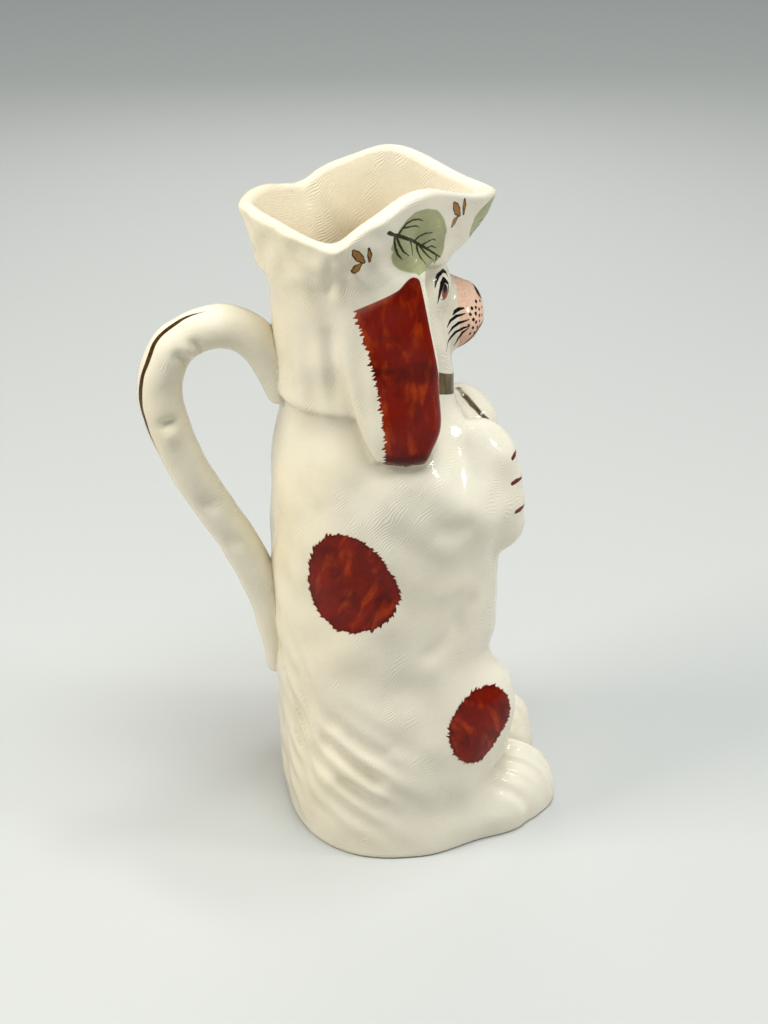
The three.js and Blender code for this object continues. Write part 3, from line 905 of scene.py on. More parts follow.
class Group(Graph):
    """A shader node group with named inputs and outputs."""

    def __init__(self, name: str, inputs: dict[str, Kind], outputs: dict[str, Kind]) -> None:
        """Make the group and its sockets."""
        super().__init__(bpy.data.node_groups.new(name, "ShaderNodeTree"))
        for label, kind in inputs.items():
            self.tree.interface.new_socket(label, in_out="INPUT", socket_type=kind.value)
        for label, kind in outputs.items():
            self.tree.interface.new_socket(label, in_out="OUTPUT", socket_type=kind.value)
        self.taken = self.tree.nodes.new("NodeGroupInput").outputs
        self.given = self.tree.nodes.new("NodeGroupOutput").inputs

    def take(self, *names: str) -> list[Socket]:
        """The group's inputs by name."""
        return [self.taken[name] for name in names]

    def give(self, **values: Socket) -> Group:
        """Join the group's outputs by name."""
        for name, value in values.items():
            self.tree.links.new(value, self.given[name])
        return self


def pigment(red: float, green: float, blue: float) -> Colour:
    """A colour as it is seen, in parts of 255, as the light that it reflects."""
    seen = np.array([red, green, blue]) / 255
    return tuple(np.where(seen <= 0.04045, seen / 12.92, ((seen + 0.055) / 1.055) ** 2.4).tolist())


@dataclass(frozen=True)
class Pigments:
    """The colours on the painter's palette."""

    ivory: Colour = pigment(234, 227, 209)
    cream: Colour = pigment(238, 226, 194)
    # Pooled glaze in the hollows, also laid there as painted shade; on the foot, a darker grain.
    pooled_and_shade: Colour = pigment(176, 166, 134)
    peach: Colour = pigment(240, 218, 182)
    crazing: Colour = pigment(150, 128, 96)
    speck: Colour = pigment(92, 70, 48)
    red: Colour = pigment(126, 20, 1)
    red_dark: Colour = pigment(82, 8, 1)
    orange: Colour = pigment(178, 62, 6)
    # A thin pink wash round the body's patches, and the painted highlight on the ears' rounded edges.
    wash_and_sheen: Colour = pigment(216, 160, 138)
    leaf: Colour = pigment(184, 184, 146)
    leaf_dark: Colour = pigment(154, 156, 110)
    vein: Colour = pigment(44, 44, 6)
    gold: Colour = pigment(160, 112, 44)
    umber: Colour = pigment(66, 34, 12)
    black: Colour = pigment(24, 17, 14)
    pink: Colour = pigment(238, 202, 178)
    pink_dark: Colour = pigment(204, 144, 114)
    iris: Colour = pigment(140, 56, 36)
    olive: Colour = pigment(74, 58, 26)
    olive_pale: Colour = pigment(108, 88, 42)
    chain: Colour = pigment(84, 66, 44)
    claw: Colour = pigment(98, 20, 8)
    bisque: Colour = pigment(226, 212, 184)


@dataclass(frozen=True)
class Motif:
    """A flat set of coordinates on the near side: an origin and the direction that faces out.
    Across runs level towards the dog's face, up is square to it."""

    origin: Point
    facing: Point

    def axes(self) -> tuple[list[float], list[float]]:
        """The across and up directions."""
        out = unit(self.facing)
        across = unit(np.cross(out, (0, 0, 1)))
        across = across if across[1] < 0 else -across
        up = np.cross(across, out)
        up = up if up[2] > 0 else -up
        return across.tolist(), up.tolist()

    def flat(self, graph: Graph, laying: Group, place: Socket) -> Socket:
        """A place in space as across and up on the motif."""
        across, up = self.axes()
        return graph.use(laying, Place=place, Origin=self.origin, Across=across, Up=up)["Flat"]


Stroke = Sequence[tuple[float, float, float]]


@dataclass(frozen=True)
class Brushwork:
    """The painter's strokes: rows of across, up and half width, in millimetres on each motif."""

    leaf_veins: tuple[Stroke, ...] = (
        ((-12, 4.5, 0.8), (-9.5, 3, 0.65), (-7, 2, 0.75), (-1, -1, 0.6), (5, -5, 0.55),
         (10.6, -9, 0.35), (13.4, -11, 0.15)),
        ((-7.5, 2, 0.6), (-5.8, 4.2, 0.5), (-4, 6, 0.4), (-1.5, 6.8, 0.35), (1, 6.6, 0.3),
         (3, 5.5, 0.15)),
        ((-4.8, 4.4, 0.35), (-2.5, 4.4, 0.3), (0, 4.2, 0.3), (2, 3.2, 0.15)),
        ((1.5, -2.4, 0.45), (3, -0.9, 0.35), (5, 0.3, 0.3), (7.5, 0.3, 0.15)),
        ((4.5, -4.5, 0.45), (7, -3.2, 0.3), (9, -2.9, 0.3), (11, -4.2, 0.15)),
        ((6.8, -6, 0.35), (9, -5.8, 0.3), (11.4, -7.2, 0.15)),
        ((-8.7, 2.6, 0.6), (-8.2, 0, 0.45), (-7.2, -3, 0.4), (-6, -5.6, 0.35), (-4.5, -7.5, 0.2)),
        ((-7.6, 1.8, 0.5), (-6.2, -1.5, 0.4), (-4.5, -4.4, 0.35), (-2, -6.5, 0.15)),
        ((-1.7, -0.8, 0.4), (-0.4, -3, 0.35), (0, -5, 0.3), (-0.1, -7, 0.15)),
        ((2.6, -3.4, 0.45), (2.6, -5.9, 0.4), (3.4, -8.4, 0.3), (5, -11, 0.15)),
        ((3.5, -4.3, 0.35), (5.2, -6.6, 0.35), (7.2, -8.9, 0.3), (9.6, -11, 0.15)),
        ((11.3, -9.4, 0.3), (11.3, -11, 0.25), (10.6, -12.8, 0.12)),
    )
    petals: tuple[Stroke, ...] = (
        ((-3.4, 4.3, 0.6), (-2.2, 2.6, 1.5), (-0.6, 0.4, 1.6), (1.4, -1.9, 0.6)),
        ((2.2, 4.3, 0.45), (2.9, 1.4, 0.95), (3.5, -2, 0.4)),
        ((-2.2, -4.6, 1.0), (-1.3, -3.6, 1.5), (0.2, -2.4, 0.7)),
    )
    brow: tuple[Stroke, ...] = (
        ((-4, 2.6, 0.15), (-2.7, 4.4, 0.5), (-0.6, 6, 0.7), (2.4, 6.8, 0.75), (4.4, 5.6, 0.5),
         (4.4, 4.2, 0.2)),
    )
    lids: tuple[Stroke, ...] = (
        ((-3.7, -3.4, 0.15), (-3, -1.1, 0.55), (-2.1, 0.9, 0.75), (-0.6, 3, 0.95), (1.3, 4, 1.0),
         (3.2, 2, 0.5)),
        ((3, 2.2, 0.45), (3.3, -0.6, 0.35), (2.4, -2.6, 0.2), (0.4, -3.3, 0.2), (-1.8, -2.4, 0.12)),
    )
    whiskers: tuple[Stroke, ...] = (
        ((-2.8, 5.3, 0.2), (-1.6, 6.3, 0.5), (0, 6.9, 0.55), (2, 6.9, 0.25)),
        ((-6, 1.4, 0.15), (-4.2, 3.5, 0.42), (-1.8, 4.8, 0.5), (1.5, 5.2, 0.2)),
        ((-5.8, -1.2, 0.15), (-3.8, 1, 0.42), (-1.5, 2.4, 0.5), (2.4, 3, 0.2)),
        ((-8, -7, 0.15), (-5.5, -3.7, 0.4), (-3, -0.9, 0.5), (0, 0.4, 0.45), (2.2, 0.5, 0.2)),
        ((-2.4, -6.8, 0.15), (-1.8, -3.6, 0.35), (-0.4, -1.3, 0.45), (2, 0, 0.15)),
    )
    freckles: tuple[tuple[float, float, float], ...] = (
        (8.5, 7.6, 0.55), (11, 7, 0.5), (5.3, 6.1, 0.65), (7.4, 5.9, 0.6), (9.1, 4.7, 0.55),
        (11.4, 4.6, 0.5), (3.6, 4.5, 0.65), (6.4, 4, 0.7), (8.4, 2.7, 0.6), (4.4, 2.5, 0.7),
        (5.7, 1.2, 0.65), (8, 0.8, 0.55), (3.9, -0.4, 0.65), (6.4, -1, 0.6), (2.7, -2.5, 0.5),
        (5, -2.7, 0.55), (2.1, 1, 0.5), (10.4, 2.2, 0.45),
    )
    claws: tuple[Stroke, ...] = (
        ((-2.5, 11.4, 0.8), (-0.4, 11.9, 0.95), (3.4, 12.2, 0.45)),
        ((-4.1, 1.8, 0.8), (-1.9, 2, 0.95), (2.4, 1.6, 0.45)),
        ((-4.2, -9.8, 0.8), (-1.3, -9.9, 0.95), (3, -10, 0.45)),
    )


@dataclass(frozen=True)
class Patch:
    """A furry-edged patch of iron red: where it lies, its usual radius, and how much and which
    way it is drawn out once, twice and three times round."""

    motif: Motif
    radius: float
    sway: Point
    turn: Point
    grain: float
    seed: float


@dataclass(frozen=True)
class Recipe:
    """The measures of the glaze: scales are waves or cells to a millimetre, heights millimetres."""

    cloud_scale: float = 0.035
    pooling_and_shade: float = 0.42
    cell_scale: float = 0.27
    cell_sway: float = 4.0
    crack_shade: float = 0.3
    crack_depth: float = 0.03
    speck_scale: float = 0.11
    speck_shade: float = 0.6
    comb_scale: float = 0.42
    comb_warp: float = 16.0
    comb_height: float = 0.035
    combed_height: float = 0.06
    skin_scale: float = 0.16
    skin_height: float = 0.16
    roughness: float = 0.1


class Palette:
    """The node groups that the finishes share, each built once."""

    def __init__(self, pigments: Pigments, brushwork: Brushwork, recipe: Recipe) -> None:
        """Build every group."""
        self.pigments = pigments
        self.brushwork = brushwork
        self.recipe = recipe
        self.places = self.build_places()
        self.laying = self.build_laying()
        self.stroke = self.build_stroke()
        self.glaze = self.build_glaze()
        self.iron_red = self.build_iron_red()
        self.fur_edge = self.build_fur_edge()
        self.leaf = self.build_leaf()
        self.sprig = self.build_sprig()

    @staticmethod
    def build_places() -> Group:
        """Object coordinates as millimetres, and folded onto the near side."""
        group = Group("places", {"Object": Kind.VECTOR}, {"Place": Kind.VECTOR, "Near": Kind.VECTOR})
        place = group.scale(*group.take("Object"), 1 / MM)
        x, y, z = group.split(place)
        folded = group.times(group.math("ABSOLUTE", x), -1.0)
        return group.give(Place=place, Near=group.join(folded, y, z))

    @staticmethod
    def build_laying() -> Group:
        """A place in space as across and up on a motif: its offset's share of each direction."""
        names = {name: Kind.VECTOR for name in ("Place", "Origin", "Across", "Up")}
        group = Group("laid flat", names, {"Flat": Kind.VECTOR})
        place, origin, across, up = group.take("Place", "Origin", "Across", "Up")
        offset = group.vector("SUBTRACT", place, origin)
        parts = [group.measure("DOT_PRODUCT", offset, axis) for axis in (across, up)]
        return group.give(Flat=group.join(*parts, 0.0))

    @staticmethod
    def build_stroke() -> Group:
        """How far a place is outside one tapering touch of the brush: its gap to the touch's
        line, less the half width there."""
        names = {name: Kind.VECTOR for name in ("Flat", "Start", "Run", "Share")}
        widths = {"Width": Kind.VALUE, "Growth": Kind.VALUE}
        group = Group("brush stroke", names | widths, {"Gap": Kind.VALUE})
        flat, start, run, share, width, growth = group.take(*names, *widths)
        offset = group.vector("SUBTRACT", flat, start)
        along = group.held(group.measure("DOT_PRODUCT", offset, share))
        gap = group.measure("LENGTH", group.vector("SUBTRACT", offset, group.scale(run, along)))
        return group.give(Gap=group.less(gap, group.line(along, growth, width)))

    def strokes(self, graph: Graph, flat: Socket, strokes: Sequence[Stroke]) -> Socket:
        """How far a place is outside a set of strokes.

        Args:
            graph: where the nodes go.
            flat: the place, across and up.
            strokes: the strokes.

        Returns:
            The distance in millimetres, less than nothing inside.
        """
        gaps = []
        for stroke in strokes:
            for start, end in zip(stroke[:-1], stroke[1:]):
                run = np.subtract(end, start)[:2]
                share = run / (run @ run)
                gaps.append(graph.use(
                    self.stroke, Flat=flat, Start=(*start[:2], 0), Run=(*run, 0), Share=(*share, 0),
                    Width=start[2], Growth=end[2] - start[2],
                )["Gap"])
        return graph.least(gaps)

    @staticmethod
    def trail(graph: Graph, place: Socket, points: Sequence[Point]) -> Socket:
        """How far a place is from a line through points in space."""
        gaps = []
        for start, end in zip(points[:-1], points[1:]):
            run = np.subtract(end, start)
            offset = graph.vector("SUBTRACT", place, start)
            share = graph.held(graph.measure("DOT_PRODUCT", offset, (run / (run @ run)).tolist()))
            gaps.append(graph.measure("DISTANCE", offset, graph.scale(run.tolist(), share)))
        return graph.least(gaps)

    def dots(self, graph: Graph, flat: Socket, dots: Sequence[tuple[float, float, float]]) -> Socket:
        """How far a place is outside a set of round dots of across, up and radius."""
        gaps = [graph.less(graph.measure("DISTANCE", flat, (*dot[:2], 0)), dot[2]) for dot in dots]
        return graph.least(gaps)

    def build_glaze(self) -> Group:
        """The lead glaze on the clay: ivory that turns to cream, pooled in the hollows, where its darker
        colour also stands in as painted shade, crazed very finely, and rippled where the coat was
        combed."""
        inputs = {"Place": Kind.VECTOR, "Warmth": Kind.VALUE, "Hollow": Kind.VALUE, "Craze": Kind.VALUE}
        outputs = {"Colour": Kind.COLOUR, "Roughness": Kind.VALUE, "Height": Kind.VALUE}
        group = Group("glaze", inputs, outputs)
        place, warmth, hollow, craze = group.take(*inputs)
        pigments, recipe = self.pigments, self.recipe
        cloud = group.noise(place, recipe.cloud_scale, 3)
        patchy = group.line(cloud, 0.9, -0.45)
        # Warmth is partly painted warm light, laid on the side towards the handle.
        warm = group.plus(warmth, patchy)
        colour = group.mix(group.step(warm, 0.0, 1.0), pigments.ivory, pigments.cream)
        # Painted shade: the hollows take the darker pooled colour, as pooled glaze and as the shade that
        # falls in them.
        pooled_and_shade = group.times(group.step(hollow, 0.05, 0.7), recipe.pooling_and_shade)
        colour = group.mix(pooled_and_shade, colour, pigments.pooled_and_shade)
        flattened = group.vector("MULTIPLY", place, (1, 1, 2.3))
        drift = group.vector("SUBTRACT", self.drift(group, flattened), (0.5, 0.5, 0.5))
        swayed = group.vector("ADD", flattened, group.scale(drift, recipe.cell_sway))
        cells = {"Vector": swayed, "Scale": recipe.cell_scale}
        edge = group.add("ShaderNodeTexVoronoi", cells, feature="DISTANCE_TO_EDGE").outputs[0]
        line = group.times(group.step(edge, 0.05, 0.0), craze)
        colour = group.mix(group.times(line, recipe.crack_shade), colour, pigments.crazing)
        grain = {"Vector": place, "Scale": recipe.speck_scale}
        spots = group.add("ShaderNodeTexVoronoi", grain, feature="F1")
        rare = group.step(group.split(spots.outputs["Color"])[0], 0.93, 0.95)
        speck = group.times(group.step(spots.outputs["Distance"], 0.045, 0.02), rare)
        colour = group.mix(group.times(speck, recipe.speck_shade), colour, pigments.speck)
        combing = {
            "Vector": place, "Scale": recipe.comb_scale, "Distortion": recipe.comb_warp,
            "Detail": 1.0, "Detail Scale": 0.3,
        }
        comb = group.add("ShaderNodeTexWave", combing, bands_direction="DIAGONAL").outputs["Fac"]
        combed = group.step(group.noise(place, 0.06, 2), 0.45, 0.7)
        ripple = group.times(comb, group.line(combed, recipe.combed_height, recipe.comb_height))
        skin = group.noise(place, recipe.skin_scale, 2)
        height = group.line(skin, recipe.skin_height, ripple)
        height = group.line(line, -recipe.crack_depth, height)
        rough = group.line(cloud, 0.08, recipe.roughness)
        rough = group.line(line, 0.08, rough)
        return group.give(Colour=colour, Roughness=rough, Height=height)

    @staticmethod
    def drift(graph: Graph, place: Socket) -> Socket:
        """Chance values as a vector, to sway a pattern with."""
        return graph.add("ShaderNodeTexNoise", {"Vector": place, "Scale": 0.12, "Detail": 1}).outputs[1]

    def build_iron_red(self) -> Group:
        """Iron red, brushed on thinly: dark where it lies thick, and darker still by its Shade input,
        which on the ears is painted shade; orange where the brush dragged it thin along the grain."""
        inputs = {"Flat": Kind.VECTOR, "Shade": Kind.VALUE}
        group = Group("iron red", inputs, {"Colour": Kind.COLOUR})
        flat, shade = group.take(*inputs)
        pigments = self.pigments
        drag = group.noise(group.vector("MULTIPLY", flat, (1, 0.4, 1)), 0.2, 3, 0.3)
        blot = group.noise(flat, 0.13, 3, 0.8)
        thickness_and_shade = group.line(blot, 1.3, shade)
        colour = group.mix(group.step(thickness_and_shade, 0.25, 0.95), pigments.red, pigments.red_dark)
        thin = group.times(group.step(drag, 0.48, 0.72), group.step(thickness_and_shade, 1.0, 0.3))
        colour = group.mix(group.times(thin, 0.8), colour, pigments.orange)
        fine = group.noise(group.vector("MULTIPLY", flat, (1, 0.12, 1)), 1.5, 3)
        colour = group.mix(group.times(group.step(fine, 0.45, 0.7), 0.3), colour, pigments.red_dark)
        return group.give(Colour=colour)

    def build_fur_edge(self) -> Group:
        """A patch's edge: its radius drawn out by slow waves round it, and broken by short
        slanting hairs, which are sharp chance values read on a circle."""
        inputs = {
            "Flat": Kind.VECTOR, "Radius": Kind.VALUE, "Sway": Kind.VECTOR, "Turn": Kind.VECTOR,
            "Seed": Kind.VALUE,
        }
        group = Group("furry edge", inputs, {"Gap": Kind.VALUE})
        flat, radius, sway, turn, seed = group.take(*inputs)
        across, up, _ = group.split(flat)
        reach = group.measure("LENGTH", flat)
        angle = group.math("ARCTAN2", up, across)
        edge = radius
        for times, much, way in zip((1.0, 2.0, 3.0), group.split(sway), group.split(turn)):
            wave = group.math("COSINE", group.less(group.times(angle, times), way))
            edge = group.line(wave, much, edge)
        slant = group.line(reach, 0.035, angle)
        circle = group.join(group.math("COSINE", slant), group.math("SINE", slant), seed)
        hair = group.noise(circle, 15.0, 1)
        tuft = group.noise(circle, 4.5, 1)
        hairs = group.math("POWER", group.step(hair, 0.3, 0.78), 1.4)
        edge = group.line(hairs, 1.5, edge)
        edge = group.line(tuft, 1.6, edge)
        return group.give(Gap=group.less(reach, group.less(edge, 1.3)))

    def build_leaf(self) -> Group:
        """A sage leaf with scalloped edges, a little darker at its edge, and its branching veins."""
        outputs = {"Leaf": Kind.VALUE, "Rim": Kind.VALUE, "Vein": Kind.VALUE}
        group = Group("painted leaf", {"Flat": Kind.VECTOR}, outputs)
        flat, = group.take("Flat")
        centred = group.vector("SUBTRACT", flat, (2.7, -1.1, 0))
        across, up, _ = group.split(centred)
        angle = group.math("ARCTAN2", up, across)
        scallop = group.math("ABSOLUTE", group.math("SINE", group.line(angle, 3.5, 0.5)))
        upper = group.step(up, 2.0, -4.0)
        edge = group.line(group.times(scallop, upper), 1.8, 10.3)
        lean = group.math("MAXIMUM", group.math("COSINE", group.plus(angle, 0.8)), 0.0)
        edge = group.line(lean, 1.7, edge)
        wander = group.noise(flat, 0.2, 1)
        edge = group.line(wander, 1.4, edge)
        gap = group.less(group.measure("LENGTH", centred), edge)
        veins = self.strokes(group, flat, self.brushwork.leaf_veins)
        worn = group.line(group.noise(flat, 0.9, 1), 0.3, -0.15)
        veins = group.plus(veins, worn)
        return group.give(Leaf=group.within(gap, 0.3), Rim=group.step(gap, -3.0, 0.0),
                          Vein=group.within(veins, 0.14))

    def build_sprig(self) -> Group:
        """Three gilt petals, each in a broken brown outline."""
        outputs = {"Petal": Kind.VALUE, "Outline": Kind.VALUE}
        group = Group("gilt sprig", {"Flat": Kind.VECTOR}, outputs)
        flat, = group.take("Flat")
        gap = self.strokes(group, flat, self.brushwork.petals)
        broken = group.line(group.noise(flat, 0.6, 3), 1.5, -0.5)
        return group.give(Petal=group.within(gap, 0.14),
                          Outline=group.step(group.plus(gap, broken), -0.4, 0.0))


@dataclass(frozen=True)
class Oval:
    """A painted oval: its centre, and the share at which each direction is taken."""

    centre: Point
    shares: Point

    def reach(self, graph: Graph, place: Socket) -> Socket:
        """How far out a place is: 1 on the oval's edge."""
        offset = graph.vector("SUBTRACT", place, self.centre)
        return graph.measure("LENGTH", graph.vector("MULTIPLY", offset, self.shares))


@dataclass
class Coat:
    """What a finish has painted so far: colour, roughness and height."""

    colour: Socket
    rough: Socket
    height: Socket


@dataclass
class Finish:
    """One finish of the jug: the glaze, with the paint of its own region under or over it."""

    palette: Palette
    name: str
    warmth: tuple[float, float] = (0.05, 0.6)
    craze: float = 0.16
    shine: float = 0.06
    coat_weight: float = 0.28
    coat_roughness: float = 0.05

    def material(self) -> bpy.types.Material:
        """Build the material: glaze, then paint, then the shader that they feed.

        Returns:
            The material.
        """
        made = bpy.data.materials.new(self.name)
        made.use_nodes = True
        made.node_tree.nodes.clear()
        graph = Graph(made.node_tree)
        coordinates = graph.add("ShaderNodeTexCoord", {}).outputs["Object"]
        places = graph.use(self.palette.places, Object=coordinates)
        coat = self.base(graph, places["Place"])
        coat = self.paint(graph, coat, places["Place"], places["Near"])
        bump_node = graph.add("ShaderNodeBump", {"Height": coat.height, "Distance": MM, "Strength": 1.0})
        inputs = {
            "Base Color": coat.colour, "Roughness": coat.rough, "Normal": bump_node.outputs[0],
            "IOR": GLAZE_IOR, "Specular IOR Level": self.shine, "Coat IOR": GLAZE_IOR,
            "Coat Weight": self.coat_weight, "Coat Roughness": self.coat_roughness,
        }
        shader = graph.add("ShaderNodeBsdfPrincipled", inputs)
        graph.add("ShaderNodeOutputMaterial", {"Surface": shader.outputs[0]})
        return made

    def base(self, graph: Graph, place: Socket) -> Coat:
        """The glaze, warmer towards the handle: partly its own cream, partly painted warm light from
        that side.
        """
        _, y, _ = graph.split(place)
        warmth = graph.between(graph.step(y, -20.0, 75.0), *self.warmth)
        glaze = graph.use(self.palette.glaze, Place=place, Warmth=warmth,
                          Hollow=graph.read("hollow"), Craze=self.craze)
        return Coat(glaze["Colour"], glaze["Roughness"], glaze["Height"])

    def paint(self, graph: Graph, coat: Coat, place: Socket, near: Socket) -> Coat:
        """Paint nothing: plain glaze."""
        return coat

    @staticmethod
    def lay(graph: Graph, coat: Coat, mask: Socket, colour: Socket | Colour, rough: float = 0.2) -> Coat:
        """Lay a colour over a coat where a mask says.

        Args:
            graph: where the nodes go.
            coat: what is there.
            mask: 0 for what is there, 1 for the new colour.
            colour: the new colour.
            rough: its roughness.

        Returns:
            The coat with the colour on it.
        """
        mixed = graph.mix(mask, coat.colour, colour)
        return Coat(mixed, graph.between(mask, coat.rough, rough), coat.height)


@dataclass
class BodyFinish(Finish):
    """The body: two furry patches on each side, the claws, and the chain on the chest, whose
    points are given in the space that is flattened from front to back."""

    patches: tuple[Patch, ...] = (
        Patch(Motif((-41, 24.8, 119.6), (-0.92, 0.39, 0.03)), 18.8,
              (1.64, 1.6, 0.85), (3.87, 3.65, 5.58), 0.4, 3.1),
        Patch(Motif((-44.5, -24, 52), (-0.9, -0.4, 0.12)), 14.7,
              (2.2, 1.6, 0.7), (1.5, 1.9, 1.4), -0.4, 8.6),
    )
    paw: Motif = Motif((-23, -41, 147), (-0.5, -0.85, 0))
    chain: tuple[Point, ...] = (
        (14.5, -12.8, 170.2), (10.4, -13.7, 168.5), (7.4, -14.8, 166.1), (5.5, -16.1, 163),
        (5.2, -17.4, 160.4),
    )
    chain_flattening: Point = (1, 0.5, 1)
    chain_half_width: float = 0.8

    def paint(self, graph: Graph, coat: Coat, place: Socket, near: Socket) -> Coat:
        """Paint the patches, each in a thin wash that shows at its edge, the claws and the chain."""
        palette = self.palette
        for patch in self.patches:
            flat = patch.motif.flat(graph, palette.laying, near)
            gap = graph.use(palette.fur_edge, Flat=flat, Radius=patch.radius, Sway=patch.sway,
                            Turn=patch.turn, Seed=patch.seed)["Gap"]
            turned = graph.add("ShaderNodeMapping", {0: flat, 2: (0, 0, patch.grain)}).outputs[0]
            rim = graph.line(graph.step(gap, -1.6, -0.2), 0.25, -0.1)
            red = graph.use(palette.iron_red, Flat=turned, Shade=rim)
            wash_and_sheen = graph.times(graph.step(gap, 0.9, 0.0), 0.25)
            coat = self.lay(graph, coat, wash_and_sheen, palette.pigments.wash_and_sheen, 0.16)
            mask = graph.within(gap, 0.12)
            coat = self.lay(graph, coat, mask, red["Colour"], 0.17)
        flat = self.paw.flat(graph, palette.laying, near)
        gap = palette.strokes(graph, flat, palette.brushwork.claws)
        front = graph.step(graph.split(near)[1], -34.0, -36.0)
        mask = graph.times(graph.within(gap, 0.14), front)
        coat = self.lay(graph, coat, mask, palette.pigments.claw)
        flattened = graph.vector("MULTIPLY", place, self.chain_flattening)
        gap = graph.less(palette.trail(graph, flattened, self.chain), self.chain_half_width)
        return self.lay(graph, coat, graph.within(gap, 0.25), palette.pigments.chain)


@dataclass
class EarFinish(Finish):
    """The ears: iron red from the front edge to a ragged line, white fur behind it. The front and
    top edges are a slope and a start, the rear edge is how much it bends and its start."""

    bottom: float = 168.0
    rear: tuple[float, float] = (0.0031, 12.0)
    top: tuple[float, float] = (-0.46, 235.0)
    front: tuple[float, float] = (0.185, -44.5)
    peak: float = 2.2
    hair_length: float = 2.2
    tuft_length: float = 2.4
    thick_band: float = 202.0

    def paint(self, graph: Graph, coat: Coat, place: Socket, near: Socket) -> Coat:
        """Paint the red: inside the flap's own edge, in front of a curve of height that hairs
        break, and under the line of the hat. The red is darkened under the hat's brim and at the
        lower edge as painted shade, and paled on the rounded edge as a painted highlight."""
        palette = self.palette
        _, y, z = graph.split(near)
        lift = graph.less(z, self.bottom)
        rear = graph.line(graph.times(lift, lift), *self.rear)
        comb = graph.join(graph.line(y, 0.45, z), 0.0, 0.0)
        hair = graph.step(graph.noise(comb, 0.85, 1), 0.3, 0.75)
        tuft = graph.noise(comb, 0.25, 1)
        behind = graph.less(y, rear)
        behind = graph.line(hair, -self.hair_length, behind)
        behind = graph.line(tuft, -self.tuft_length, graph.plus(behind, 1.6))
        peak = graph.step(graph.math("ABSOLUTE", graph.less(y, self.peak)), 5.0, 0.0)
        top = graph.line(peak, 1.6, graph.line(y, *self.top))
        above = graph.less(z, top)
        front = graph.less(graph.line(z, *self.front), y)
        outside = graph.math("SMOOTH_MAX", behind, above, 1.5)
        outside = graph.math("SMOOTH_MAX", outside, front, 4.0)
        outside = graph.math("SMOOTH_MAX", outside, graph.times(graph.read("cover"), -1.0), 0.5)
        rim = graph.step(graph.read("cover"), 3.5, 0.5)
        band = graph.step(graph.math("ABSOLUTE", graph.less(z, self.thick_band)), 7.0, 1.0)
        # Painted shade: the red darkens towards the top, under the hat's brim, and at the lower edge.
        head = graph.step(z, 222.0, 232.0)
        shade = graph.line(band, 0.3, graph.line(head, 0.2, -0.3))
        shade = graph.line(graph.step(z, 174.0, 168.5), 0.7, shade)
        red = graph.use(palette.iron_red, Flat=graph.join(y, z, 0.0), Shade=shade)
        # Painted highlight: pale pink on the flap's rounded edge stands in for the glaze's sheen there.
        colour = graph.mix(graph.times(rim, 0.3), red["Colour"], palette.pigments.wash_and_sheen)
        return self.lay(graph, coat, graph.within(outside, 0.15), colour, 0.14)


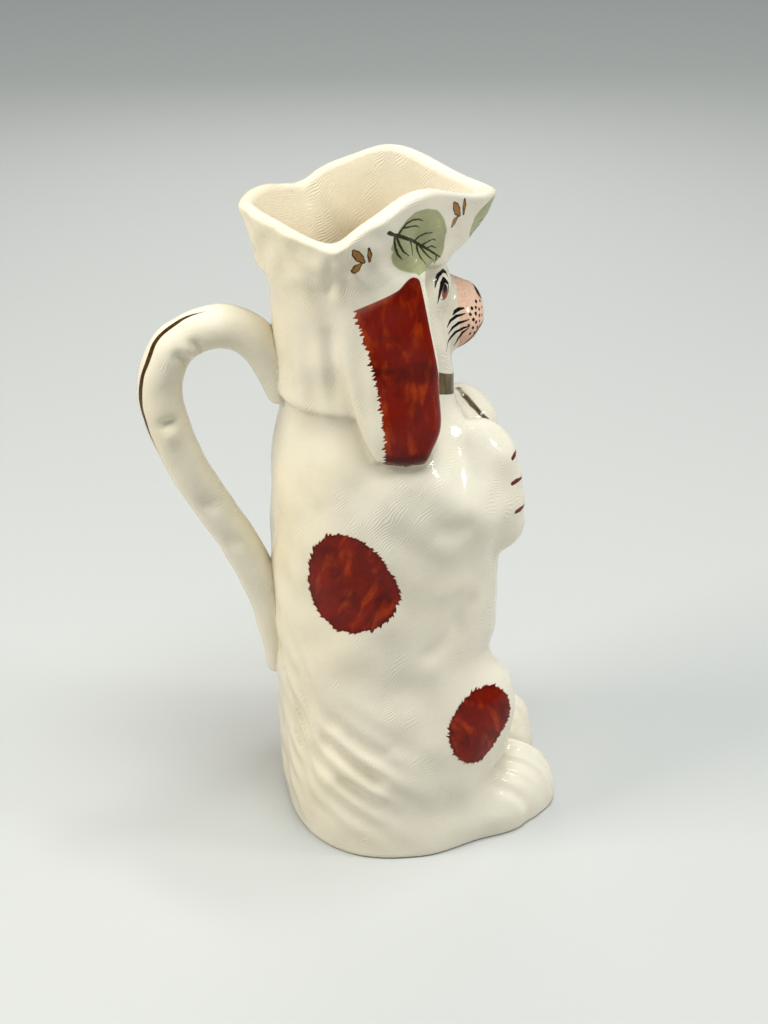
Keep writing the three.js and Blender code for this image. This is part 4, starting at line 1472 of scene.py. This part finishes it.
@dataclass
class HeadFinish(Finish):
    """The face and neck: brows, eyes, muzzle, whiskers, nose and collar. The mouth and the
    collar's edges are a slope and a height."""

    eye: Motif = Motif((-19, -13, 224), (-0.65, -0.76, 0))
    cheek: Motif = Motif((-13, -21, 207), (-0.85, -0.53, 0))
    iris: Oval = Oval((0.6, -0.5, 0), (0.5, 0.4, 0))
    pupil: Oval = Oval((0.8, 1.0, 0), (0.8, 0.6, 0))
    nose: Oval = Oval((0, -31, 216.8), (0.19, 0.21, 0.3))
    mouth: tuple[float, float] = (-0.97, 178.5)
    mouth_front: float = -28.0
    mouth_rear: float = -19.0
    lip_half_width: float = 0.7
    muzzle_rear: float = -18.9
    collar_top: tuple[float, float] = (0.68, 200.8)
    collar_low: tuple[float, float] = (0.58, 191.2)
    collar_rear: float = 2.0

    def paint(self, graph: Graph, coat: Coat, place: Socket, near: Socket) -> Coat:
        """Paint the muzzle and collar first, then the fine black strokes over them."""
        palette, pigments, work = self.palette, self.palette.pigments, self.palette.brushwork
        _, y, z = graph.split(near)
        coat = self.muzzle(graph, coat, near)
        coat = self.collar(graph, coat, near)
        flat = self.eye.flat(graph, palette.laying, near)
        iris = self.iris.reach(graph, flat)
        coat = self.lay(graph, coat, graph.step(iris, 1.06, 0.94), pigments.iris)
        pupil = graph.less(self.pupil.reach(graph, flat), 1.0)
        lines = graph.least([palette.strokes(graph, flat, (*work.brow, *work.lids)), pupil])
        cheek = self.cheek.flat(graph, palette.laying, near)
        worn = graph.line(graph.noise(near, 0.8, 2), 0.7, -0.35)
        freckles = graph.plus(palette.dots(graph, cheek, work.freckles), worn)
        marks = graph.least([lines, palette.strokes(graph, cheek, work.whiskers), freckles])
        level = self.mouth_level(graph, y)
        lip = graph.less(graph.math("ABSOLUTE", graph.less(z, level)), self.lip_half_width)
        lip = graph.math("MAXIMUM", lip, graph.plus(y, -self.mouth_rear))
        coat = self.lay(graph, coat, graph.within(lip, 0.2), pigments.claw)
        nose = graph.less(self.nose.reach(graph, near), 1.0)
        marks = graph.least([marks, nose])
        return self.lay(graph, coat, graph.within(marks, 0.12), pigments.black, 0.15)

    def mouth_level(self, graph: Graph, y: Socket) -> Socket:
        """The height of the line of the mouth, level at its very front."""
        return graph.line(graph.math("MAXIMUM", y, self.mouth_front), *self.mouth)

    def muzzle(self, graph: Graph, coat: Coat, near: Socket) -> Coat:
        """Stippled pink on the muzzle, from a nearly upright edge forward, above the mouth."""
        _, y, z = graph.split(near)
        pigments = self.palette.pigments
        edge = graph.line(graph.noise(near, 0.25, 2), 1.4, graph.plus(y, -self.muzzle_rear))
        mouth = graph.less(self.mouth_level(graph, y), z)
        mask = graph.within(graph.math("MAXIMUM", edge, mouth), 0.3)
        stipple = graph.step(graph.noise(near, 0.9, 2), 0.35, 0.65)
        deep = graph.times(graph.step(z, 212.0, 199.0), 0.45)
        colour = graph.mix(graph.times(stipple, 0.3), pigments.pink, pigments.pink_dark)
        colour = graph.mix(deep, colour, pigments.pink_dark)
        return self.lay(graph, coat, mask, colour, 0.24)

    def collar(self, graph: Graph, coat: Coat, near: Socket) -> Coat:
        """An olive band round the neck that dips towards the chest."""
        _, y, z = graph.split(near)
        pigments = self.palette.pigments
        top = graph.line(y, *self.collar_top)
        low = graph.line(y, *self.collar_low)
        gap = graph.math("MAXIMUM", graph.less(z, top), graph.less(low, z))
        gap = graph.math("MAXIMUM", gap, graph.less(y, self.collar_rear))
        thin = graph.noise(graph.vector("MULTIPLY", near, (1, 1, 0.3)), 0.5, 3)
        colour = graph.mix(graph.step(thin, 0.35, 0.75), pigments.olive, pigments.olive_pale)
        return self.lay(graph, coat, graph.within(gap, 0.2), colour, 0.25)


@dataclass
class HatFinish(Finish):
    """The hat: a leaf and two gilt sprigs on each side, and a smaller leaf under the spout. Each
    leaf is kept forward of its own reach."""

    side_leaf: Motif = Motif((-30, 0, 249), (-0.85, -0.5, -0.1))
    front_leaf: Motif = Motif((2, -28.5, 247.6), (-0.001, -0.95, -0.3))
    sprigs: tuple[Motif, ...] = (
        Motif((-38, 20, 245), (-0.9, -0.2, -0.3)),
        Motif((-18.9, -18.4, 253), (-0.8, -0.6, -0.1)),
    )
    front_scale: Point = (-1.3, 1.3, 1)
    side_reach: tuple[float, float] = (16.0, 14.0)
    front_reach: tuple[float, float] = (-18.0, -20.0)

    def paint(self, graph: Graph, coat: Coat, place: Socket, near: Socket) -> Coat:
        """Paint the leaves, then the sprigs."""
        palette, pigments = self.palette, self.palette.pigments
        sides = self.side_leaf.flat(graph, palette.laying, near)
        front = self.front_leaf.flat(graph, palette.laying, place)
        front = graph.vector("MULTIPLY", front, self.front_scale)
        for flat, reach in ((sides, self.side_reach), (front, self.front_reach)):
            leaf = graph.use(palette.leaf, Flat=flat)
            before = graph.step(graph.split(near)[1], *reach)
            shade = graph.mix(graph.noise(place, 0.4, 3), pigments.leaf, pigments.leaf_dark)
            shade = graph.mix(graph.times(leaf["Rim"], 0.3), shade, pigments.leaf_dark)
            coat = self.lay(graph, coat, graph.times(leaf["Leaf"], before), shade, 0.2)
            coat = self.lay(graph, coat, graph.times(leaf["Vein"], before), pigments.vein, 0.18)
        for motif in self.sprigs:
            sprig = graph.use(palette.sprig, Flat=motif.flat(graph, palette.laying, near))
            coat = self.lay(graph, coat, sprig["Petal"], pigments.gold, 0.22)
            line = graph.times(sprig["Outline"], sprig["Petal"])
            coat = self.lay(graph, coat, line, pigments.umber, 0.2)
        return coat


@dataclass
class HandleFinish(Finish):
    """The handle: one long umber stroke down its spine."""

    half_width: float = 0.9
    upper_end: tuple[float, float] = (4.0, 5.4)
    lower_end: tuple[float, float] = (9.6, 8.0)
    bend: tuple[float, float] = (4.4, 6.6)

    def paint(self, graph: Graph, coat: Coat, place: Socket, near: Socket) -> Coat:
        """Paint the line: near the middle, on the outer side, tapering to both its ends."""
        x, _, _ = graph.split(place)
        along = graph.read("along")
        taper = graph.times(graph.step(along, *self.upper_end), graph.step(along, *self.lower_end))
        width = graph.times(taper, self.half_width)
        drift = graph.line(graph.step(along, *self.bend), 1.9, graph.plus(x, 1.6))
        waver = graph.line(graph.noise(place, 0.09, 1), 1.6, drift)
        gap = graph.less(graph.math("ABSOLUTE", waver), width)
        outer = graph.step(graph.read("spine"), 0.5, 1.5)
        mask = graph.times(graph.within(gap, 0.12), outer)
        mask = graph.times(mask, graph.step(taper, 0.02, 0.06))
        thin = graph.step(graph.noise(place, 0.5, 2), 0.35, 0.7)
        colour = graph.mix(thin, self.palette.pigments.umber, self.palette.pigments.olive)
        return self.lay(graph, coat, mask, colour, 0.22)


@dataclass
class InsideFinish(Finish):
    """The inside: the same glaze, peachy and more crazed."""

    def paint(self, graph: Graph, coat: Coat, place: Socket, near: Socket) -> Coat:
        """Tint the glaze peach, more the deeper it is."""
        deep = graph.step(graph.split(place)[2], 262.0, 225.0)
        tint = graph.mix(graph.between(deep, 0.05, 0.4), coat.colour, self.palette.pigments.peach)
        return Coat(tint, coat.rough, coat.height)


@dataclass
class FootFinish(Finish):
    """The underside, wiped clean of glaze."""

    coat_weight: float = 0.0

    def paint(self, graph: Graph, coat: Coat, place: Socket, near: Socket) -> Coat:
        """Bare bisque, dusty and matt."""
        grain = graph.noise(place, 0.7, 4)
        pigments = self.palette.pigments
        colour = graph.mix(graph.times(grain, 0.35), pigments.bisque, pigments.pooled_and_shade)
        bare = graph.line(grain, 0.2, 0.6)
        return Coat(colour, bare, graph.times(grain, 0.2))


class Region(Enum):
    """The regions of the jug, each with a finish of its own."""

    BODY = 0
    EAR = 1
    HEAD = 2
    HAT = 3
    HANDLE = 4
    INSIDE = 5
    FOOT = 6


@dataclass(frozen=True)
class Borders:
    """Where the jug's regions meet: heights, places from front to back, and gaps to a form."""

    head_bottom: float = 176
    head_rear: float = 8
    ear_bottom: float = 160
    ear_top: float = 240
    ear_margin: float = 3
    hat_bottom: float = 236.5
    spout_bottom: float = 233
    spout_rear: float = -4
    flap_bottom: float = 226
    flap_margin: float = 0.5
    handle_top: float = 225
    handle_front: float = 40
    handle_gap: float = 0.9
    lip_depth: float = 1.6
    foot_top: float = 0.05
    foot_facing: float = -0.9


@dataclass
class Jug:
    """The whole jug: the casting joined to its handle, divided into regions and dressed."""

    figure: Figure
    relief: Relief
    palette: Palette
    borders: Borders = Borders()
    hollow_steps: tuple[float, ...] = (3, 6, 10, 15)

    def join(self) -> bpy.types.Object:
        """Model the casting and the handle, and join them into one clay body.

        Returns:
            The jug's object.
        """
        figure = self.figure
        rings = Casting(figure).rings(self.relief.on_body)
        start, end = (0, figure.middle(0), 0), (0, figure.middle(figure.floor), figure.floor)
        jug = closed_object("dog_jug", rings, start, end)
        handle_rings = Handle(figure).trimmed(self.relief.on_handle)
        ends = handle_rings[0].mean(0), handle_rings[-1].mean(0)
        handle = closed_object("dog_jug_handle", handle_rings, *ends)
        modifier = jug.modifiers.new("handle", "BOOLEAN")
        modifier.operation = "UNION"
        modifier.solver = "MANIFOLD"
        modifier.object = handle
        evaluated = jug.evaluated_get(bpy.context.evaluated_depsgraph_get())
        joined = bpy.data.meshes.new_from_object(evaluated)
        jug.modifiers.clear()
        jug.data = joined
        bpy.data.objects.remove(handle)
        return jug

    def measure(self, p: Array) -> dict[str, Array]:
        """What the finishes need to know at each point.

        Args:
            p: rows of points, in millimetres.

        Returns:
            How deep in a hollow, how far the ear stands over the head, how far out on the
            handle's spine, and how far along the handle.
        """
        figure = self.figure
        normal = gradient(figure.outside, p)
        here = figure.outside(p)
        gains = [
            np.clip((figure.outside(p + step * normal) - here) / step, 0, 1)
            for step in self.hollow_steps
        ]
        hollow = np.where(here > self.borders.handle_gap, 0, 1 - sum(gains) / len(gains))
        spine, along = Handle(figure).spine(p)
        return {"hollow": hollow, "cover": figure.cover(p), "spine": spine, "along": along}

    def regions(self, p: Array, facing: Array) -> Array:
        """Which region each face is in.

        Args:
            p: the faces' middles, in millimetres.
            facing: their normals.

        Returns:
            The region's number for each face.
        """
        figure, at = self.figure, self.borders
        y, z = p[:, 1], p[:, 2]
        skin = figure.outside(p)
        by_ear = (figure.cover(p) > -at.ear_margin) & (z > at.ear_bottom) & (z < at.ear_top)
        spout = (z > at.spout_bottom) & (y < at.spout_rear)
        flap = (z > figure.brim(y) + at.flap_margin) & (z > at.flap_bottom) & (y > at.spout_rear)
        places = {
            Region.HEAD: (z > at.head_bottom) & (y < at.head_rear),
            Region.EAR: by_ear,
            Region.HAT: (z > at.hat_bottom) | spout | flap,
            Region.HANDLE: (skin > at.handle_gap) & (y > at.handle_front) & (z < at.handle_top),
            Region.INSIDE: (figure.inside(p) < at.lip_depth) & (skin < -at.lip_depth),
            Region.FOOT: (z < at.foot_top) & (facing[:, 2] < at.foot_facing),
        }
        region = np.full(len(p), Region.BODY.value)
        for name, here in places.items():
            region[here] = name.value
        return region

    def dress(self, jug: bpy.types.Object) -> None:
        """Write the measures on the mesh, and give each region its finish."""
        mesh = jug.data
        points = np.empty(len(mesh.vertices) * 3, np.float32)
        mesh.vertices.foreach_get("co", points)
        points = points.reshape(-1, 3).astype(float) / MM
        for name, values in self.measure(points).items():
            attribute = mesh.attributes.new(name, "FLOAT", "POINT")
            attribute.data.foreach_set("value", values.astype(np.float32))
        count = len(mesh.polygons)
        centres, normals = np.empty(count * 3, np.float32), np.empty(count * 3, np.float32)
        mesh.polygons.foreach_get("center", centres)
        mesh.polygons.foreach_get("normal", normals)
        finishes = {
            Region.BODY: BodyFinish(self.palette, "glaze_body"),
            Region.EAR: EarFinish(self.palette, "glaze_ear"),
            Region.HEAD: HeadFinish(self.palette, "glaze_head"),
            Region.HAT: HatFinish(self.palette, "glaze_hat"),
            Region.HANDLE: HandleFinish(self.palette, "glaze_handle", warmth=(0.0, 0.3)),
            Region.INSIDE: InsideFinish(self.palette, "glaze_inside", warmth=(0.25, 0.5), craze=0.4),
            Region.FOOT: FootFinish(self.palette, "bare_foot"),
        }
        mesh.materials.clear()
        for region in Region:
            mesh.materials.append(finishes[region].material())
        region = self.regions(centres.reshape(-1, 3).astype(float) / MM, normals.reshape(-1, 3))
        mesh.polygons.foreach_set("material_index", region.astype(np.int32))
        mesh.polygons.foreach_set("use_smooth", np.ones(count, bool))
        mesh.update()

    def make(self) -> bpy.types.Object:
        """Returns:
            The jug's object, riding on the frame.
        """
        jug = self.join()
        self.dress(jug)
        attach(jug, BODY)
        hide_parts(NODE)
        triangles = sum(len(face.vertices) - 2 for face in jug.data.polygons)
        log.info("%s: %d triangles", jug.name, triangles)
        return jug


@dataclass(frozen=True)
class Lamp:
    """A soft lamp: where it stands and what it faces, its size, strength and colour."""

    name: str
    at: Point
    target: Point
    size: tuple[float, float]
    watts: float
    colour: Colour
    mirrored: bool = False

    def place(self) -> None:
        """Hang the lamp."""
        light = bpy.data.lights.new(self.name, "AREA")
        light.shape = "RECTANGLE"
        light.size, light.size_y = self.size[0] * MM, self.size[1] * MM
        light.energy = self.watts
        light.color = self.colour
        lamp = bpy.data.objects.new(self.name, light)
        lamp.visible_glossy = self.mirrored
        lamp.location = [value * MM for value in self.at]
        lamp.rotation_euler = look(self.at, self.target)
        bpy.context.scene.collection.objects.link(lamp)


def look(at: Point, target: Point) -> tuple[float, float, float]:
    """The turn that points a lamp or camera from one place to another."""
    x, y, z = np.subtract(target, at)
    pitch = np.arctan2(np.hypot(x, y), -z)
    return float(pitch), 0.0, float(np.arctan2(-x, y))


@dataclass(frozen=True)
class Studio:
    """The table, the light and the camera. The camera's two turns are in degrees, its near limit
    is in metres, and its sensor and lens are in millimetres."""

    floor_size: float = 7000
    floor_colour: Colour = (0.54, 0.55, 0.54)
    air: Colour = (0.92, 0.96, 1.0)
    air_strength: float = 0.16
    lamps: tuple[Lamp, ...] = (
        Lamp("ceiling", (-600, -200, 3000), (0, 0, 100), (1500, 1500), 65, (0.95, 1.0, 0.97)),
        Lamp("room", (-120, 760, 720), (0, 20, 130), (400, 300), 6.0, (1.0, 0.95, 0.86)),
        Lamp("front", (-150, -900, 350), (0, 0, 130), (500, 400), 1.2, (1.0, 0.94, 0.84)),
        Lamp("side", (-900, 100, 400), (0, 0, 130), (500, 400), 0.2, (1.0, 0.95, 0.92)),
        Lamp("far side", (900, -100, 500), (0, 0, 130), (500, 400), 1.6, (1.0, 0.97, 0.94)),
        Lamp("window", (-270, -760, 680), (-30, -40, 25), (150, 110), 1.8, (1.0, 1.0, 1.0), True),
        Lamp("bulb", (100, -150, 1150), (0, -30, 165), (150, 70), 1.8, (1.0, 1.0, 1.0), True),
    )
    camera_at: Point = (-640.8, 113.0, 472.8)
    camera_down: float = 28.03
    camera_turn: float = -99.48
    lens: float = 66.8
    sensor: float = 36
    near_limit: float = 0.02

    def build(self) -> None:
        """Lay the table, hang the lamps and set the camera."""
        half = self.floor_size / 2 * MM
        mesh = bpy.data.meshes.new("table")
        corners = [(-half, -half, 0), (half, -half, 0), (half, half, 0), (-half, half, 0)]
        mesh.from_pydata(corners, [], [(0, 1, 2, 3)])
        table = bpy.data.objects.new("table", mesh)
        table.data.materials.append(self.table_finish())
        bpy.context.scene.collection.objects.link(table)
        for lamp in self.lamps:
            lamp.place()
        world = bpy.data.worlds.new("studio")
        world.use_nodes = True
        background = world.node_tree.nodes["Background"]
        background.inputs["Color"].default_value = (*self.air, 1)
        background.inputs["Strength"].default_value = self.air_strength
        bpy.context.scene.world = world
        self.set_camera()

    def table_finish(self) -> bpy.types.Material:
        """A plain pale matt surface with a faint grain."""
        made = bpy.data.materials.new("table")
        made.use_nodes = True
        made.node_tree.nodes.clear()
        graph = Graph(made.node_tree)
        place = graph.add("ShaderNodeTexCoord", {}).outputs["Object"]
        grain = graph.noise(place, 60.0, 3)
        rough = graph.line(grain, 0.1, 0.6)
        inputs = {"Base Color": (*self.floor_colour, 1), "Roughness": rough}
        shader = graph.add("ShaderNodeBsdfPrincipled", inputs)
        graph.add("ShaderNodeOutputMaterial", {"Surface": shader.outputs[0]})
        return made

    def set_camera(self) -> None:
        """Stand the camera at the photograph's view."""
        data = bpy.data.cameras.new("camera")
        data.lens = self.lens
        data.sensor_width = self.sensor
        data.clip_start = self.near_limit
        camera = bpy.data.objects.new("camera", data)
        camera.location = [value * MM for value in self.camera_at]
        turn = np.radians([90 - self.camera_down, 0, self.camera_turn])
        camera.rotation_euler = turn.tolist()
        bpy.context.scene.collection.objects.link(camera)
        bpy.context.scene.camera = camera


def main() -> None:
    """Make the jug and the studio."""
    logging.basicConfig(level=logging.INFO, format="%(name)s %(message)s")
    bpy.context.scene.view_settings.view_transform = "Standard"
    palette = Palette(Pigments(), Brushwork(), Recipe())
    Jug(Figure(), Relief(), palette).make()
    Studio().build()


if __name__ == "__main__":
    main()
